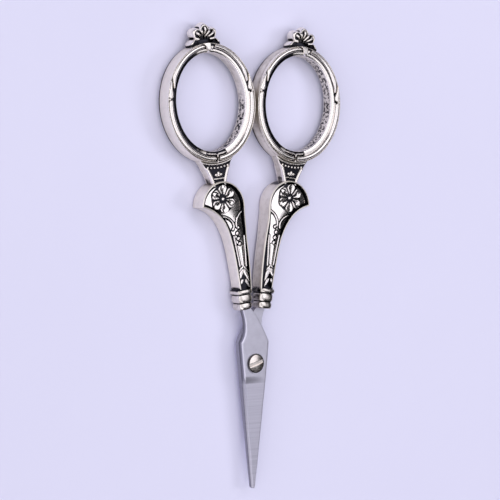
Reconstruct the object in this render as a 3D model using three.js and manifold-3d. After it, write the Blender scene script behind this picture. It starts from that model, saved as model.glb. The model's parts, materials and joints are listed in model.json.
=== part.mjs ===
// Embroidery scissors, closed and lying on their back, in millimetres.
// +Z points out of the front face, with the screw head, and +Y towards the finger rings.
// The two halves are alike. One is drawn with the pivot at the origin and the blades meeting at Z = 0:
// the rear blade, which sits in the right handle. The other is the same half turned over about Y.

import * as THREE from "three";
import { mergeVertices } from "three/addons/utils/BufferGeometryUtils.js";
import Module from "manifold-3d";

const wasm = await Module();
wasm.setup();

const degrees = THREE.MathUtils.degToRad;

// Facets of the round forms
const ROUND_SIDES = 36; // of the screw and its hole
const BLADE_SEGMENTS = 10; // of each curve
const BODY_SEGMENTS = 14;
const NECK_SEGMENTS = 6;
const PETAL_SEGMENTS = 3;
const BAND_STEPS = 4; // of each ferrule band's swell
const CORNER_STEPS = 3; // of each ferrule corner
const BEAD_FACETS = [10, 6]; // round a ball, and from pole to pole
const LOBE_FACETS = [12, 7];
const SCOOP_FACETS = [8, 6];
const WELD = 1e-4; // vertices nearer than this are one

// Blades
const BLADE_REACH = 34.8; // pivot to tip
const BLADE_THICKNESS = 1.4;
const BLADE_GAP = 0.1; // between the two inner faces
const HEEL_WIDTH = 9.3; // the widest place
const HEEL_RISE = 5.8; // pivot to the widest place
const TIP_WIDTH = 1.0;
const TIP_THICKNESS = 0.6;
const PAD_DROP = 3.9; // pivot to the foot of the flat pad under the screw
const EDGE_THICKNESS = 0.95; // at the cutting edge, beside the pad
const BEVEL_WIDTH = 0.5; // of the strip ground along the cutting edge
const EDGE_LAND = 0.15; // left square where the bevel meets the inner face
const SHANK_WIDTH = 2.8; // where the shank enters the ferrule
const SHANK_OFFSET = 0.4; // from the ferrule's axis towards the midline
const SHANK_SPINE = { lean: degrees(26.5), pull: 3.9 };
const SHANK_SPINE_END = { lean: degrees(50), pull: 2.65 };
const SHANK_EDGE = { lean: degrees(-40), pull: 3.1 };
const SHANK_EDGE_END = { lean: degrees(20), pull: 3.9 };
const TANG_WIDTH = 2.0; // at its end
const TANG_LENGTH = 13; // inside the handle
const TANG_CLEARANCE = 0.15; // round the tang in its socket

// Pivot screw
const SCREW_DIAMETER = 3.0;
const SCREW_CLEARANCE = 0.05; // radial, and under the head
const HEAD_DIAMETER = 5.3;
const HEAD_HEIGHT = 0.85;
const HEAD_EDGE = 0.4; // height of the head's upright edge
const HEAD_ROUND = 0.18; // of the broken edge above it
const HEAD_BROW = { inset: 0.72, drop: 0.045 }; // where the domed top begins to fall
const SLOT_WIDTH = 0.9;
const SLOT_DEPTH = 0.45;
const SLOT_ANGLE = degrees(15);
const TAIL_LENGTH = 0.35; // stands out behind the rear blade

// Ferrule: three bands round the tang
const HANDLE_THICKNESS = 5.4; // over the ferrule and the ring's crests, on which the scissors lie
const HANDLE_LEAN = degrees(7.2); // of the ferrule's axis, away from the midline
const FOOT_RISE = 20.6; // pivot to the ferrule's top
const FOOT_OFFSET = 3.55; // midline to the foot of the body
const FERRULE_OFFSET = 0.4; // of its axis from the foot, away from the midline
const FERRULE_WIDTH = 5.3;
const FERRULE_CORNER = 1.7; // radius of its upright corners
const FERRULE_OVERLAP = 0.5; // into the body above
const FERRULE_FULLNESS = 0.96; // share of a band's height that swells; the rest is the groove
const FERRULE_BANDS = [
  { height: 1.45, inset: 0.45, swell: 0.32 },
  { height: 2.75, inset: 0.25, swell: 0.3 },
  { height: 1.5, inset: 0, swell: 0.5 },
];

// Body: a shield with a sunk panel and a blossom on each face
const BODY_THICKNESS = 5.0;
const BODY_EDGE = 0.25; // width of the broken edges
const FOOT_WIDTH = 4.1;
const FOOT_SPREAD = degrees(4.5); // each side's turn from the lean as it leaves the ferrule
const DOME_RISE = 43.1; // pivot to the dome's centre
const DOME_OFFSET = 11.3; // midline to the dome's centre
const DOME_RADIUS = 7.1;
const INNER_PULL = 4.6; // below the dome on the side near the midline
const INNER_FOOT_PULL = 10.4;
const SHOULDER_PULL = 9.4; // in from the pointed shoulder
const SHOULDER_DROOP = degrees(11);
const OUTER_FOOT_PULL = 12.7;
const RIM_WIDTH = 0.6;
const PANEL_DEPTH = 0.6;
const BLOSSOM_OFFSET = 0.4; // from the dome's centre, away from the midline
const BLOSSOM_RISE = 2.4; // above the dome's centre
const PETALS = 6;
const PETAL_START = 0.5; // from the blossom's centre
const PETAL_REACH = 3.8;
const PETAL_WIDTH = 2.7;
const PETAL_BROAD = 0.62; // share of its length where it is widest
const PETAL_HEIGHT = 0.5; // above the panel
const PETAL_EDGE = 0.18;
const BLOSSOM_BEAD = 0.55; // radius

// Neck between the body and the ring
const NECK_WIDTH = 4.4;
const NECK_FLARE = 12.4; // width at its root in the ring
const NECK_THICKNESS = 3.8;
const NECK_EDGE = 0.4;
const NECK_CURVE = 1.1; // how far its sides bow in from a straight taper
const NECK_FOOT = 1.2; // into the body below
const NECK_ROOT = 2.2; // into the ring above

// Finger ring
const RING_RISE = 71.3; // pivot to its centre
const RING_TILT = degrees(6.3); // of its long axis, away from the midline
const RING_GAP = 0.4; // between the two rings
const RING_WIDTH = 29.5;
const RING_LENGTH = 32.6;
const OPENING_WIDTH = 23.4;
const OPENING_LENGTH = 27.2;
const OPENING_SHIFT = 0.3; // towards the finial, which leaves the ring stoutest at the neck
const RING_WALL = 3.9; // height of the plain outer wall
const OPENING_WALL = 2.4; // height of the plain wall round the opening, between sloping shoulders
const RING_STEPS = 48;
const BEAD_HEIGHT = 0.7; // of the main bead, over the top of the shoulder inside it
const BEAD_ROUND = 0.25; // crest to shoulder
const BEAD_FOOT = [0.2, 0.92]; // shares of the band's width, from the opening
const BEAD_SHOULDER = [0.33, 0.82];
const BEAD_CREST = [0.5, 0.68];
const COLLAR_SPAN = degrees(8); // of the small collars at the neck and the finial
const COLLAR_PROUD = 0.25;
const COLLAR_ROUND = 0.15; // crest to shoulder
const COLLAR_SHOULDER = [0.2, 0.8]; // shares of the band's width
const COLLAR_CREST = 0.5;

// Shell finial
const FINIAL_HEIGHT = 5.55; // above the ring
const FINIAL_THICKNESS = 5.0;
const FINIAL_ROOT = 0.55; // height above the ring of the point that the lobes spread from
const FINIAL_BASE = { width: 8.4, height: 3.4, thickness: 3.4 }; // the sunk saddle on the ring
const LOBES = 5;
const LOBE_STEP = degrees(50);
const LOBE_WIDTH = 3.4;
const SCOOP_WIDTH = 1.8;
const SCOOP_LENGTH = 3.4;
const SCOOP_DEPTH = 0.9;

const bladeLow = -BLADE_GAP / 2 - BLADE_THICKNESS;
const bladeMiddle = bladeLow + BLADE_THICKNESS / 2;

function polar(from, lean, length) {
  return new THREE.Vector2(from.x + length * Math.sin(lean), from.y + length * Math.cos(lean));
}

function solidOf(geometry) {
  const bare = geometry.clone();
  bare.deleteAttribute("normal");
  bare.deleteAttribute("uv");
  const merged = mergeVertices(bare, WELD);
  const corners = merged.index.array;
  const triangles = [];
  for (let i = 0; i < corners.length; i += 3) {
    const [a, b, c] = corners.subarray(i, i + 3);
    if (a !== b && b !== c && c !== a) triangles.push(a, b, c);
  }
  return new wasm.Manifold(
    new wasm.Mesh({
      numProp: 3,
      vertProperties: merged.getAttribute("position").array,
      triVerts: Uint32Array.from(triangles),
    }),
  );
}

function meshOf(name, solid, material) {
  const made = solid.getMesh();
  const geometry = new THREE.BufferGeometry();
  geometry.setAttribute("position", new THREE.BufferAttribute(made.vertProperties, 3));
  geometry.setIndex(new THREE.BufferAttribute(made.triVerts, 1));
  geometry.computeVertexNormals();
  const mesh = new THREE.Mesh(geometry, material);
  mesh.name = name;
  return mesh;
}

/** A solid skinned through closed sections, each a list of points; a loop joins the last to the first. */
function skin(sections, loop) {
  const count = sections[0].length;
  const points = sections.flat();
  const index = [];
  const rows = loop ? sections.length : sections.length - 1;
  for (let row = 0; row < rows; row++) {
    const here = row * count;
    const next = ((row + 1) % sections.length) * count;
    for (let j = 0; j < count; j++) {
      const k = (j + 1) % count;
      index.push(here + j, next + j, next + k, here + j, next + k, here + k);
    }
  }
  if (!loop) {
    const last = (sections.length - 1) * count;
    const bottom = points.length;
    points.push(middleOf(sections[0]), middleOf(sections.at(-1)));
    for (let j = 0; j < count; j++) {
      const k = (j + 1) % count;
      index.push(bottom, j, k, bottom + 1, last + k, last + j);
    }
  }
  const geometry = new THREE.BufferGeometry().setFromPoints(points);
  geometry.setIndex(index);
  return solidOf(geometry);
}

function middleOf(points) {
  const sum = points.reduce((total, point) => total.add(point), new THREE.Vector3());
  return sum.divideScalar(points.length);
}

/** An outline pulled through its thickness, centred on `level`, with its edges broken by `edge`. */
function plate(shape, thickness, level, edge, curveSegments) {
  const geometry = new THREE.ExtrudeGeometry(shape, {
    depth: thickness - 2 * edge,
    curveSegments,
    bevelEnabled: edge > 0,
    bevelSize: edge,
    bevelThickness: edge,
    bevelOffset: -edge,
    bevelSegments: 1,
  });
  geometry.translate(0, 0, level - thickness / 2 + edge);
  return geometry;
}

/** The outline moved inwards by `distance`, with mitred corners; the points run anticlockwise. */
function insetOf(points, distance) {
  return points.map((point, i) => {
    const before = points.at(i - 1);
    const after = points[(i + 1) % points.length];
    const into = point.clone().sub(before).normalize();
    const out = after.clone().sub(point).normalize();
    const left = new THREE.Vector2(-into.y - out.y, into.x + out.x).normalize();
    const mitre = distance / (left.x * -out.y + left.y * out.x);
    return point.clone().addScaledVector(left, mitre);
  });
}

// Points shared by the pieces of one half
const foot = new THREE.Vector2(FOOT_OFFSET, FOOT_RISE);
const collet = new THREE.Vector2(foot.x + FERRULE_OFFSET, foot.y);
const ferruleLength = FERRULE_BANDS.reduce((sum, band) => sum + band.height, 0);
const mouth = polar(collet, HANDLE_LEAN, -ferruleLength);
const tangStart = new THREE.Vector2(
  mouth.x - SHANK_OFFSET * Math.cos(HANDLE_LEAN),
  mouth.y + SHANK_OFFSET * Math.sin(HANDLE_LEAN),
);
const dome = new THREE.Vector2(DOME_OFFSET, DOME_RISE);
const blossom = new THREE.Vector2(dome.x + BLOSSOM_OFFSET, dome.y + BLOSSOM_RISE);
const ringReach = Math.hypot(
  (RING_WIDTH / 2) * Math.cos(RING_TILT),
  (RING_LENGTH / 2) * Math.sin(RING_TILT),
);
const ring = new THREE.Vector2(ringReach + RING_GAP / 2, RING_RISE);

/** A point beside the tang's centre line: `along` it from the ferrule's mouth, `aside` from the midline. */
function tangPoint(along, aside) {
  const point = polar(tangStart, HANDLE_LEAN, along);
  point.x += aside * Math.cos(HANDLE_LEAN);
  point.y -= aside * Math.sin(HANDLE_LEAN);
  return point;
}

function bladeShape() {
  const tip = TIP_WIDTH / 2;
  const heelSpine = new THREE.Vector2(-HEEL_WIDTH / 2, HEEL_RISE);
  const heelEdge = new THREE.Vector2(HEEL_WIDTH / 2, HEEL_RISE);
  const shankSpine = tangPoint(0, -SHANK_WIDTH / 2);
  const shankEdge = tangPoint(0, SHANK_WIDTH / 2);
  const endSpine = tangPoint(TANG_LENGTH, -TANG_WIDTH / 2);
  const endEdge = tangPoint(TANG_LENGTH, TANG_WIDTH / 2);
  const edgeUp = polar(heelEdge, SHANK_EDGE.lean, SHANK_EDGE.pull);
  const edgeDown = polar(shankEdge, SHANK_EDGE_END.lean, -SHANK_EDGE_END.pull);
  const spineDown = polar(shankSpine, SHANK_SPINE_END.lean, -SHANK_SPINE_END.pull);
  const spineUp = polar(heelSpine, SHANK_SPINE.lean, SHANK_SPINE.pull);
  const shape = new THREE.Shape();
  shape.absarc(0, tip - BLADE_REACH, tip, -Math.PI, 0, false);
  shape.lineTo(heelEdge.x, heelEdge.y);
  shape.bezierCurveTo(edgeUp.x, edgeUp.y, edgeDown.x, edgeDown.y, shankEdge.x, shankEdge.y);
  shape.lineTo(endEdge.x, endEdge.y);
  shape.lineTo(endSpine.x, endSpine.y);
  shape.lineTo(shankSpine.x, shankSpine.y);
  shape.bezierCurveTo(spineDown.x, spineDown.y, spineUp.x, spineUp.y, heelSpine.x, heelSpine.y);
  shape.closePath();
  return shape;
}

/** Half the blade's width at a distance below the pivot. */
function halfWidthBelow(drop) {
  const taper = (HEEL_WIDTH - TIP_WIDTH) / 2 / (HEEL_RISE + BLADE_REACH - TIP_WIDTH / 2);
  return HEEL_WIDTH / 2 - taper * (HEEL_RISE + drop);
}

/** What the wheel takes off the outer face below the pad: full thickness at the spine, thin at the edge. */
function faceGrind() {
  const width = halfWidthBelow(PAD_DROP);
  const across = (BLADE_THICKNESS - EDGE_THICKNESS) / (2 * width);
  const along = ((BLADE_THICKNESS + EDGE_THICKNESS) / 2 - TIP_THICKNESS) / (BLADE_REACH - PAD_DROP);
  const ground = (x, drop) => BLADE_THICKNESS - across * (x + width) - along * (drop - PAD_DROP);
  const section = (drop) => {
    const level = (x) => -BLADE_GAP / 2 - ground(x, drop);
    const low = bladeLow - BLADE_THICKNESS;
    return [
      new THREE.Vector3(width, -drop, low),
      new THREE.Vector3(width, -drop, level(width)),
      new THREE.Vector3(-width, -drop, level(-width)),
      new THREE.Vector3(-width, -drop, low),
    ];
  };
  return skin([section(BLADE_REACH + TIP_WIDTH), section(PAD_DROP)], false);
}

/** The strip ground along the cutting edge, from the pad's foot to the tip. */
function edgeGrind() {
  const section = (drop) => {
    const edge = halfWidthBelow(drop);
    const start = -BLADE_GAP / 2 - EDGE_LAND;
    const slope = (EDGE_THICKNESS - EDGE_LAND) / BEVEL_WIDTH;
    const beyond = BEVEL_WIDTH;
    const low = start - slope * 2 * BEVEL_WIDTH;
    return [
      new THREE.Vector3(edge + beyond, -drop, low),
      new THREE.Vector3(edge + beyond, -drop, start + slope * beyond),
      new THREE.Vector3(edge - 2 * BEVEL_WIDTH, -drop, low),
    ];
  };
  return skin([section(BLADE_REACH + TIP_WIDTH), section(PAD_DROP)], false);
}

function screwHole() {
  const radius = SCREW_DIAMETER / 2 + SCREW_CLEARANCE;
  const geometry = new THREE.CylinderGeometry(radius, radius, 2 * BLADE_THICKNESS, ROUND_SIDES);
  geometry.rotateX(Math.PI / 2);
  geometry.translate(0, 0, bladeMiddle);
  return solidOf(geometry);
}

function bladeSolid() {
  const blank = solidOf(plate(bladeShape(), BLADE_THICKNESS, bladeMiddle, 0, BLADE_SEGMENTS));
  return blank.subtract(faceGrind()).subtract(edgeGrind()).subtract(screwHole());
}

/** The socket that the tang sits in, open at the ferrule's mouth. */
function tangSocket() {
  const before = -TANG_CLEARANCE - FERRULE_WIDTH / 2;
  const narrowing = (SHANK_WIDTH - TANG_WIDTH) / 2 / TANG_LENGTH;
  const half = (along) => SHANK_WIDTH / 2 + TANG_CLEARANCE - narrowing * along;
  const end = TANG_LENGTH + TANG_CLEARANCE;
  const shape = new THREE.Shape([
    tangPoint(before, half(before)),
    tangPoint(end, half(end)),
    tangPoint(end, -half(end)),
    tangPoint(before, -half(before)),
  ]);
  const height = BLADE_THICKNESS + 2 * TANG_CLEARANCE;
  return solidOf(plate(shape, height, bladeMiddle, 0, 1));
}

/** Three bands, each swelling like half an ellipse, stacked along the leaning axis. */
function ferruleSolid() {
  const stations = [];
  let along = -ferruleLength;
  for (const band of FERRULE_BANDS) {
    for (let step = 0; step <= BAND_STEPS; step++) {
      const turn = Math.PI * (step / BAND_STEPS - 0.5);
      const inset = band.inset + band.swell * (1 - Math.cos(turn));
      const rise = (band.height / 2) * (1 + FERRULE_FULLNESS * Math.sin(turn));
      stations.push({ along: along + rise, inset });
    }
    along += band.height;
  }
  stations.push({ along: FERRULE_OVERLAP, inset: FERRULE_BANDS.at(-1).swell });
  return skin(stations.map(ferruleSection), false);
}

function ferruleSection({ along, inset }) {
  const centre = polar(collet, HANDLE_LEAN, along);
  const wide = FERRULE_WIDTH / 2 - FERRULE_CORNER;
  const deep = HANDLE_THICKNESS / 2 - FERRULE_CORNER;
  const round = FERRULE_CORNER - inset;
  const points = [];
  for (const [x, z, start] of [[1, -1, -90], [1, 1, 0], [-1, 1, 90], [-1, -1, 180]]) {
    for (let step = 0; step <= CORNER_STEPS; step++) {
      const turn = degrees(start) + (step / CORNER_STEPS) * (Math.PI / 2);
      const aside = x * wide + round * Math.cos(turn);
      const height = z * deep + round * Math.sin(turn);
      points.push(new THREE.Vector3(
        centre.x + aside * Math.cos(HANDLE_LEAN),
        centre.y - aside * Math.sin(HANDLE_LEAN),
        height,
      ));
    }
  }
  return points;
}

function bodyShape() {
  const half = FOOT_WIDTH / 2;
  const inner = new THREE.Vector2(foot.x - half, foot.y);
  const outer = new THREE.Vector2(foot.x + half, foot.y);
  const shoulder = new THREE.Vector2(dome.x + DOME_RADIUS, dome.y);
  const shoulderIn = polar(shoulder, -Math.PI / 2 - SHOULDER_DROOP, SHOULDER_PULL);
  const outerUp = polar(outer, HANDLE_LEAN + FOOT_SPREAD, OUTER_FOOT_PULL);
  const innerUp = polar(inner, HANDLE_LEAN - FOOT_SPREAD, INNER_FOOT_PULL);
  const side = dome.x - DOME_RADIUS;
  const shape = new THREE.Shape();
  shape.moveTo(outer.x, outer.y);
  shape.bezierCurveTo(outerUp.x, outerUp.y, shoulderIn.x, shoulderIn.y, shoulder.x, shoulder.y);
  shape.absarc(dome.x, dome.y, DOME_RADIUS, 0, Math.PI, false);
  shape.bezierCurveTo(side, dome.y - INNER_PULL, innerUp.x, innerUp.y, inner.x, inner.y);
  shape.closePath();
  return shape;
}

/** One petal of the blossom, pointing along +Y from the centre: narrow, then broad, with a pointed tip. */
function petalShape() {
  const broad = PETAL_START + (PETAL_REACH - PETAL_START) * PETAL_BROAD;
  const shape = new THREE.Shape();
  shape.moveTo(-PETAL_START / 2, PETAL_START);
  shape.lineTo(PETAL_START / 2, PETAL_START);
  shape.lineTo(PETAL_WIDTH / 2, broad);
  shape.quadraticCurveTo(PETAL_WIDTH / 2, PETAL_REACH - PETAL_EDGE, 0, PETAL_REACH);
  shape.quadraticCurveTo(-PETAL_WIDTH / 2, PETAL_REACH - PETAL_EDGE, -PETAL_WIDTH / 2, broad);
  shape.closePath();
  return shape;
}

function blossomSolid(floor) {
  const bead = new THREE.SphereGeometry(BLOSSOM_BEAD, ...BEAD_FACETS);
  bead.translate(blossom.x, blossom.y, floor);
  let flower = solidOf(bead);
  for (let petal = 0; petal < PETALS; petal++) {
    const geometry = plate(petalShape(), 2 * PETAL_HEIGHT, 0, PETAL_EDGE, PETAL_SEGMENTS);
    geometry.rotateZ((petal * 2 * Math.PI) / PETALS - HANDLE_LEAN);
    geometry.translate(blossom.x, blossom.y, floor);
    flower = flower.add(solidOf(geometry));
  }
  return flower;
}

function bodySolid() {
  const shape = bodyShape();
  const outline = shape.getPoints(BODY_SEGMENTS).slice(0, -1);
  const panel = new THREE.Shape(insetOf(outline, RIM_WIDTH));
  let body = solidOf(plate(shape, BODY_THICKNESS, 0, BODY_EDGE, BODY_SEGMENTS));
  for (const face of [-1, 1]) {
    const floor = face * (BODY_THICKNESS / 2 - PANEL_DEPTH);
    const sunk = plate(panel, 2 * PANEL_DEPTH, floor + face * PANEL_DEPTH, 0, 1);
    body = body.subtract(solidOf(sunk)).add(blossomSolid(floor));
  }
  return body;
}

/** A flared strut from the dome to the ring, drawn along the line between their centres. */
function neckSolid() {
  const lean = Math.atan2(ring.x - dome.x, ring.y - dome.y);
  const span = ring.distanceTo(dome);
  const low = DOME_RADIUS - NECK_FOOT;
  const high = span - RING_LENGTH / 2 + NECK_ROOT;
  const bow = (NECK_WIDTH + NECK_FLARE) / 4 - NECK_CURVE;
  const shape = new THREE.Shape();
  shape.moveTo(-NECK_WIDTH / 2, low);
  shape.lineTo(NECK_WIDTH / 2, low);
  shape.quadraticCurveTo(bow, (low + high) / 2, NECK_FLARE / 2, high);
  shape.lineTo(-NECK_FLARE / 2, high);
  shape.quadraticCurveTo(-bow, (low + high) / 2, -NECK_WIDTH / 2, low);
  shape.closePath();
  const geometry = plate(shape, NECK_THICKNESS, 0, NECK_EDGE, NECK_SEGMENTS);
  geometry.rotateZ(-lean);
  geometry.translate(dome.x, dome.y, 0);
  return solidOf(geometry);
}

function ellipsePoint(angle, width, length, shift) {
  const aside = (width / 2) * Math.cos(angle);
  const along = (length / 2) * Math.sin(angle) + shift;
  return new THREE.Vector2(
    ring.x + aside * Math.cos(RING_TILT) + along * Math.sin(RING_TILT),
    ring.y - aside * Math.sin(RING_TILT) + along * Math.cos(RING_TILT),
  );
}

/** A section of the ring at an angle, from a profile of [share of the band from inside, height] pairs. */
function ringSection(angle, profile, proud) {
  const outer = ellipsePoint(angle, RING_WIDTH + 2 * proud, RING_LENGTH + 2 * proud, 0);
  const inner = ellipsePoint(angle, OPENING_WIDTH, OPENING_LENGTH, OPENING_SHIFT);
  const place = ([share, height]) => {
    const flat = inner.clone().lerp(outer, share);
    return new THREE.Vector3(flat.x, flat.y, height);
  };
  const front = profile.toReversed();
  const back = profile.map(([share, height]) => [share, -height]);
  return [...front, ...back].map(place);
}

/** Plain walls, a sloping shoulder round the opening, and a broad bead with a flat polished crest. */
function ringSolid() {
  const crest = HANDLE_THICKNESS / 2;
  const base = crest - BEAD_HEIGHT;
  const moulding = [
    [0, OPENING_WALL / 2],
    [BEAD_FOOT[0], base],
    [BEAD_SHOULDER[0], crest - BEAD_ROUND],
    [BEAD_CREST[0], crest],
    [BEAD_CREST[1], crest],
    [BEAD_SHOULDER[1], crest - BEAD_ROUND],
    [BEAD_FOOT[1], base],
    [1, RING_WALL / 2],
  ];
  const sections = [];
  for (let step = 0; step < RING_STEPS; step++) {
    sections.push(ringSection((step * 2 * Math.PI) / RING_STEPS, moulding, 0));
  }
  return skin(sections, true).add(collarSolid(Math.PI / 2)).add(collarSolid(-Math.PI / 2));
}

/** A small collar round the ring, at the angle of the neck or the finial. */
function collarSolid(angle) {
  const crest = HANDLE_THICKNESS / 2;
  const collar = [
    [0, OPENING_WALL / 2],
    [COLLAR_SHOULDER[0], crest - COLLAR_ROUND],
    [COLLAR_CREST, crest],
    [COLLAR_SHOULDER[1], crest - COLLAR_ROUND],
    [1, RING_WALL / 2],
  ];
  const ends = [angle - COLLAR_SPAN / 2, angle + COLLAR_SPAN / 2];
  return skin(ends.map((end) => ringSection(end, collar, COLLAR_PROUD)), false);
}

/** An ellipsoid lying in the handle's plane, turned by `lean` and set at a point and a level. */
function ellipsoid(size, facets, lean, centre, level) {
  const geometry = new THREE.SphereGeometry(0.5, ...facets);
  geometry.rotateX(Math.PI / 2).scale(size.width, size.height, size.thickness);
  geometry.rotateZ(-lean).translate(centre.x, centre.y, level);
  return solidOf(geometry);
}

/** Cupped lobes spread like a half rosette above the ring, over a sunk saddle. */
function finialSolid() {
  const root = polar(ring, RING_TILT, RING_LENGTH / 2 + FINIAL_ROOT);
  const length = FINIAL_HEIGHT - FINIAL_ROOT;
  const lobe = { width: LOBE_WIDTH, height: length, thickness: FINIAL_THICKNESS };
  const scoop = { width: SCOOP_WIDTH, height: SCOOP_LENGTH, thickness: 2 * SCOOP_DEPTH };
  const seat = polar(ring, RING_TILT, RING_LENGTH / 2);
  let solid = ellipsoid(FINIAL_BASE, LOBE_FACETS, RING_TILT, seat, 0);
  const turns = Array.from({ length: LOBES }, (_, i) => RING_TILT + (i - (LOBES - 1) / 2) * LOBE_STEP);
  for (const turn of turns) {
    solid = solid.add(ellipsoid(lobe, LOBE_FACETS, turn, polar(root, turn, length / 2), 0));
  }
  for (const turn of turns) {
    for (const level of [-FINIAL_THICKNESS / 2, FINIAL_THICKNESS / 2]) {
      solid = solid.subtract(ellipsoid(scoop, SCOOP_FACETS, turn, polar(root, turn, length / 2), level));
    }
  }
  return solid;
}

function handleSolid() {
  const casting = bodySolid().add(ferruleSolid()).add(neckSolid()).add(ringSolid()).add(finialSolid());
  return casting.subtract(tangSocket());
}

/** Slotted screw: its head on the front blade, its tail through the rear blade. */
function screwSolid() {
  const seat = BLADE_GAP / 2 + BLADE_THICKNESS + SCREW_CLEARANCE;
  const top = seat + HEAD_HEIGHT;
  const head = HEAD_DIAMETER / 2;
  const shank = SCREW_DIAMETER / 2;
  const tail = bladeLow - TAIL_LENGTH;
  const profile = [
    [0, tail],
    [shank - TAIL_LENGTH, tail],
    [shank, bladeLow],
    [shank, seat],
    [head, seat],
    [head, seat + HEAD_EDGE],
    [head - HEAD_ROUND, top - HEAD_ROUND],
    [head - HEAD_BROW.inset, top - HEAD_BROW.drop],
    [0, top],
  ];
  const points = profile.map(([radius, height]) => new THREE.Vector2(radius, height));
  const turned = new THREE.LatheGeometry(points, ROUND_SIDES);
  turned.rotateX(Math.PI / 2);
  const slot = new THREE.BoxGeometry(HEAD_DIAMETER + SLOT_WIDTH, SLOT_WIDTH, 2 * SLOT_DEPTH);
  slot.rotateZ(SLOT_ANGLE);
  slot.translate(0, 0, top);
  return solidOf(turned).subtract(solidOf(slot));
}

const castSilver = new THREE.MeshStandardMaterial({ color: 0xc9c4c0, metalness: 1, roughness: 0.28 });
const bladeSteel = new THREE.MeshStandardMaterial({ color: 0xb2aec4, metalness: 1, roughness: 0.42 });
const screwSteel = new THREE.MeshStandardMaterial({ color: 0xd8d2c8, metalness: 1, roughness: 0.22 });

const rearHalf = new THREE.Group();
rearHalf.add(meshOf("rear_blade", bladeSolid(), bladeSteel));
rearHalf.add(meshOf("right_handle", handleSolid(), castSilver));

const frontHalf = new THREE.Group();
frontHalf.rotation.y = Math.PI;
frontHalf.add(meshOf("front_blade", bladeSolid(), bladeSteel));
frontHalf.add(meshOf("left_handle", handleSolid(), castSilver));

// The scissors lie on Z = 0, with the origin under the middle of their outline.
const scissors = new THREE.Group();
scissors.add(rearHalf, frontHalf, meshOf("pivot_screw", screwSolid(), screwSteel));
scissors.updateMatrixWorld(true);
const extent = new THREE.Box3().setFromObject(scissors, true);
const centre = extent.getCenter(new THREE.Vector3());
scissors.position.set(-centre.x, -centre.y, -extent.min.z);

export default scissors;
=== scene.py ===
# %% [markdown]
# # Embroidery scissors with cast silver handles
#
# A small pair of scissors lies closed on its back. Two ground steel blades turn on a slotted screw,
# and each blade sits in a cast handle: a banded ferrule, a shield-shaped body with a blossom on it,
# a flared neck, a moulded finger ring and a shell finial. This lesson builds each of them as a
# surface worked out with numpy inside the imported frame, gives the metals their finish, and sets up
# a small studio round them.

import json
import math

import bpy
import numpy as np
from mathutils import Matrix, Vector


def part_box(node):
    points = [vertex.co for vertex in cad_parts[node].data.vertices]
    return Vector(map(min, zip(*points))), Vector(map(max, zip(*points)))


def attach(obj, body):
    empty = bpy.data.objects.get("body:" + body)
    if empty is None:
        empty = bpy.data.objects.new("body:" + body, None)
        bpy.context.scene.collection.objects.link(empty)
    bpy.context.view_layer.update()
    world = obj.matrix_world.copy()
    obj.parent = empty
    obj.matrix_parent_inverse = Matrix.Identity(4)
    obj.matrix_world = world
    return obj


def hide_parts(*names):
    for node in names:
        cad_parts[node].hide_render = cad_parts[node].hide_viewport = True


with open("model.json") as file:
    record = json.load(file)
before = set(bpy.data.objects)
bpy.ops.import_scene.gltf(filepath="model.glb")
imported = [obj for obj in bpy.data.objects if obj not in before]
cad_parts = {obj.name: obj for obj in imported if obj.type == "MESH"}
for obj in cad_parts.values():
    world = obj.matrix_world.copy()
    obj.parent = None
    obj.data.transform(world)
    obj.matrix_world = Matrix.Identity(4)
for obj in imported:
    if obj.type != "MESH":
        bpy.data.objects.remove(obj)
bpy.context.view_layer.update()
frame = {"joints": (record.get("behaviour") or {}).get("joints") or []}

# %% [markdown]
# The two halves are the same half turned over about the long axis, as they are on the bench, where
# one mould serves both handles. So every piece is drawn once, in millimetres, for the half that
# holds the rear blade, with the pivot at the origin, +Y towards the rings and +Z out of the front.
# A Mirror modifier would make the other half the wrong hand, so it is turned over instead. The frame
# gives the pivot and the handle's thickness.

# %% The drawing frame
MM = 0.001
pivot = np.array(frame["joints"][0]["pos_m"])
HALVES = {"right": ("rear_half", 1.0), "left": ("front_half", -1.0)}


def in_frame(points, turn):
    """Millimetres from the pivot become metres in the frame; turn -1 swings the half over about Y."""
    return points * [turn * MM, MM, turn * MM] + pivot


handle_low, handle_high = ((np.array(corner) - pivot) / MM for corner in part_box("right_handle"))
CREST = handle_high[2]
print("handle from", handle_low.round(2), "to", handle_high.round(2), "mm from the pivot")

# %% [markdown]
# Three small functions shape most of the ornament: an S curve between two levels, the round section
# of a bar, and a bar's blunt end. A blur is needed as well, because black patina stays wherever a
# surface lies below its own blurred self: in grooves, round beads and between petals. The others
# place points beside a leaning line, draw curves and crowd points where there is detail. Sculpting
# could give such ornament too, but here every number can be read and changed.


# %% Shaping functions
def smooth(low, high, value):
    """Smoothstep: 0 at low, 1 at high and 3s^2 - 2s^3 between, where s is the share of the way."""
    share = np.clip((value - low) / (high - low), 0.0, 1.0)
    return share * share * (3.0 - 2.0 * share)


def swell(offset, half):
    """The section of a rounded bar, (1 - (offset / half)^2)^0.6, and 0 beyond its sides."""
    return np.clip(1.0 - (offset / np.maximum(half, 1e-3)) ** 2, 0.0, None) ** 0.6


def blunt(distance, reach):
    """A rounded end: a quarter circle that rises from 0 at the end to 1 at reach."""
    return np.sqrt(1.0 - (1.0 - np.clip(distance / reach, 0.0, 1.0)) ** 2)


def soften(values, passes):
    """A blur: each pass takes a quarter of each neighbour and half of the value itself, both ways."""
    for _ in range(2 * passes):
        padded = np.pad(values, ((1, 1), (0, 0)), mode="edge")
        values = ((padded[:-2] + 2.0 * padded[1:-1] + padded[2:]) / 4.0).T
    return values


def leaning(start, lean, along, across=0.0):
    """Points along a line from start that leans from +Y towards +X, and across it to the right."""
    x = start[0] + along * math.sin(lean) + across * math.cos(lean)
    y = start[1] + along * math.cos(lean) - across * math.sin(lean)
    return np.stack(np.broadcast_arrays(x, y), axis=-1)


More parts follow.
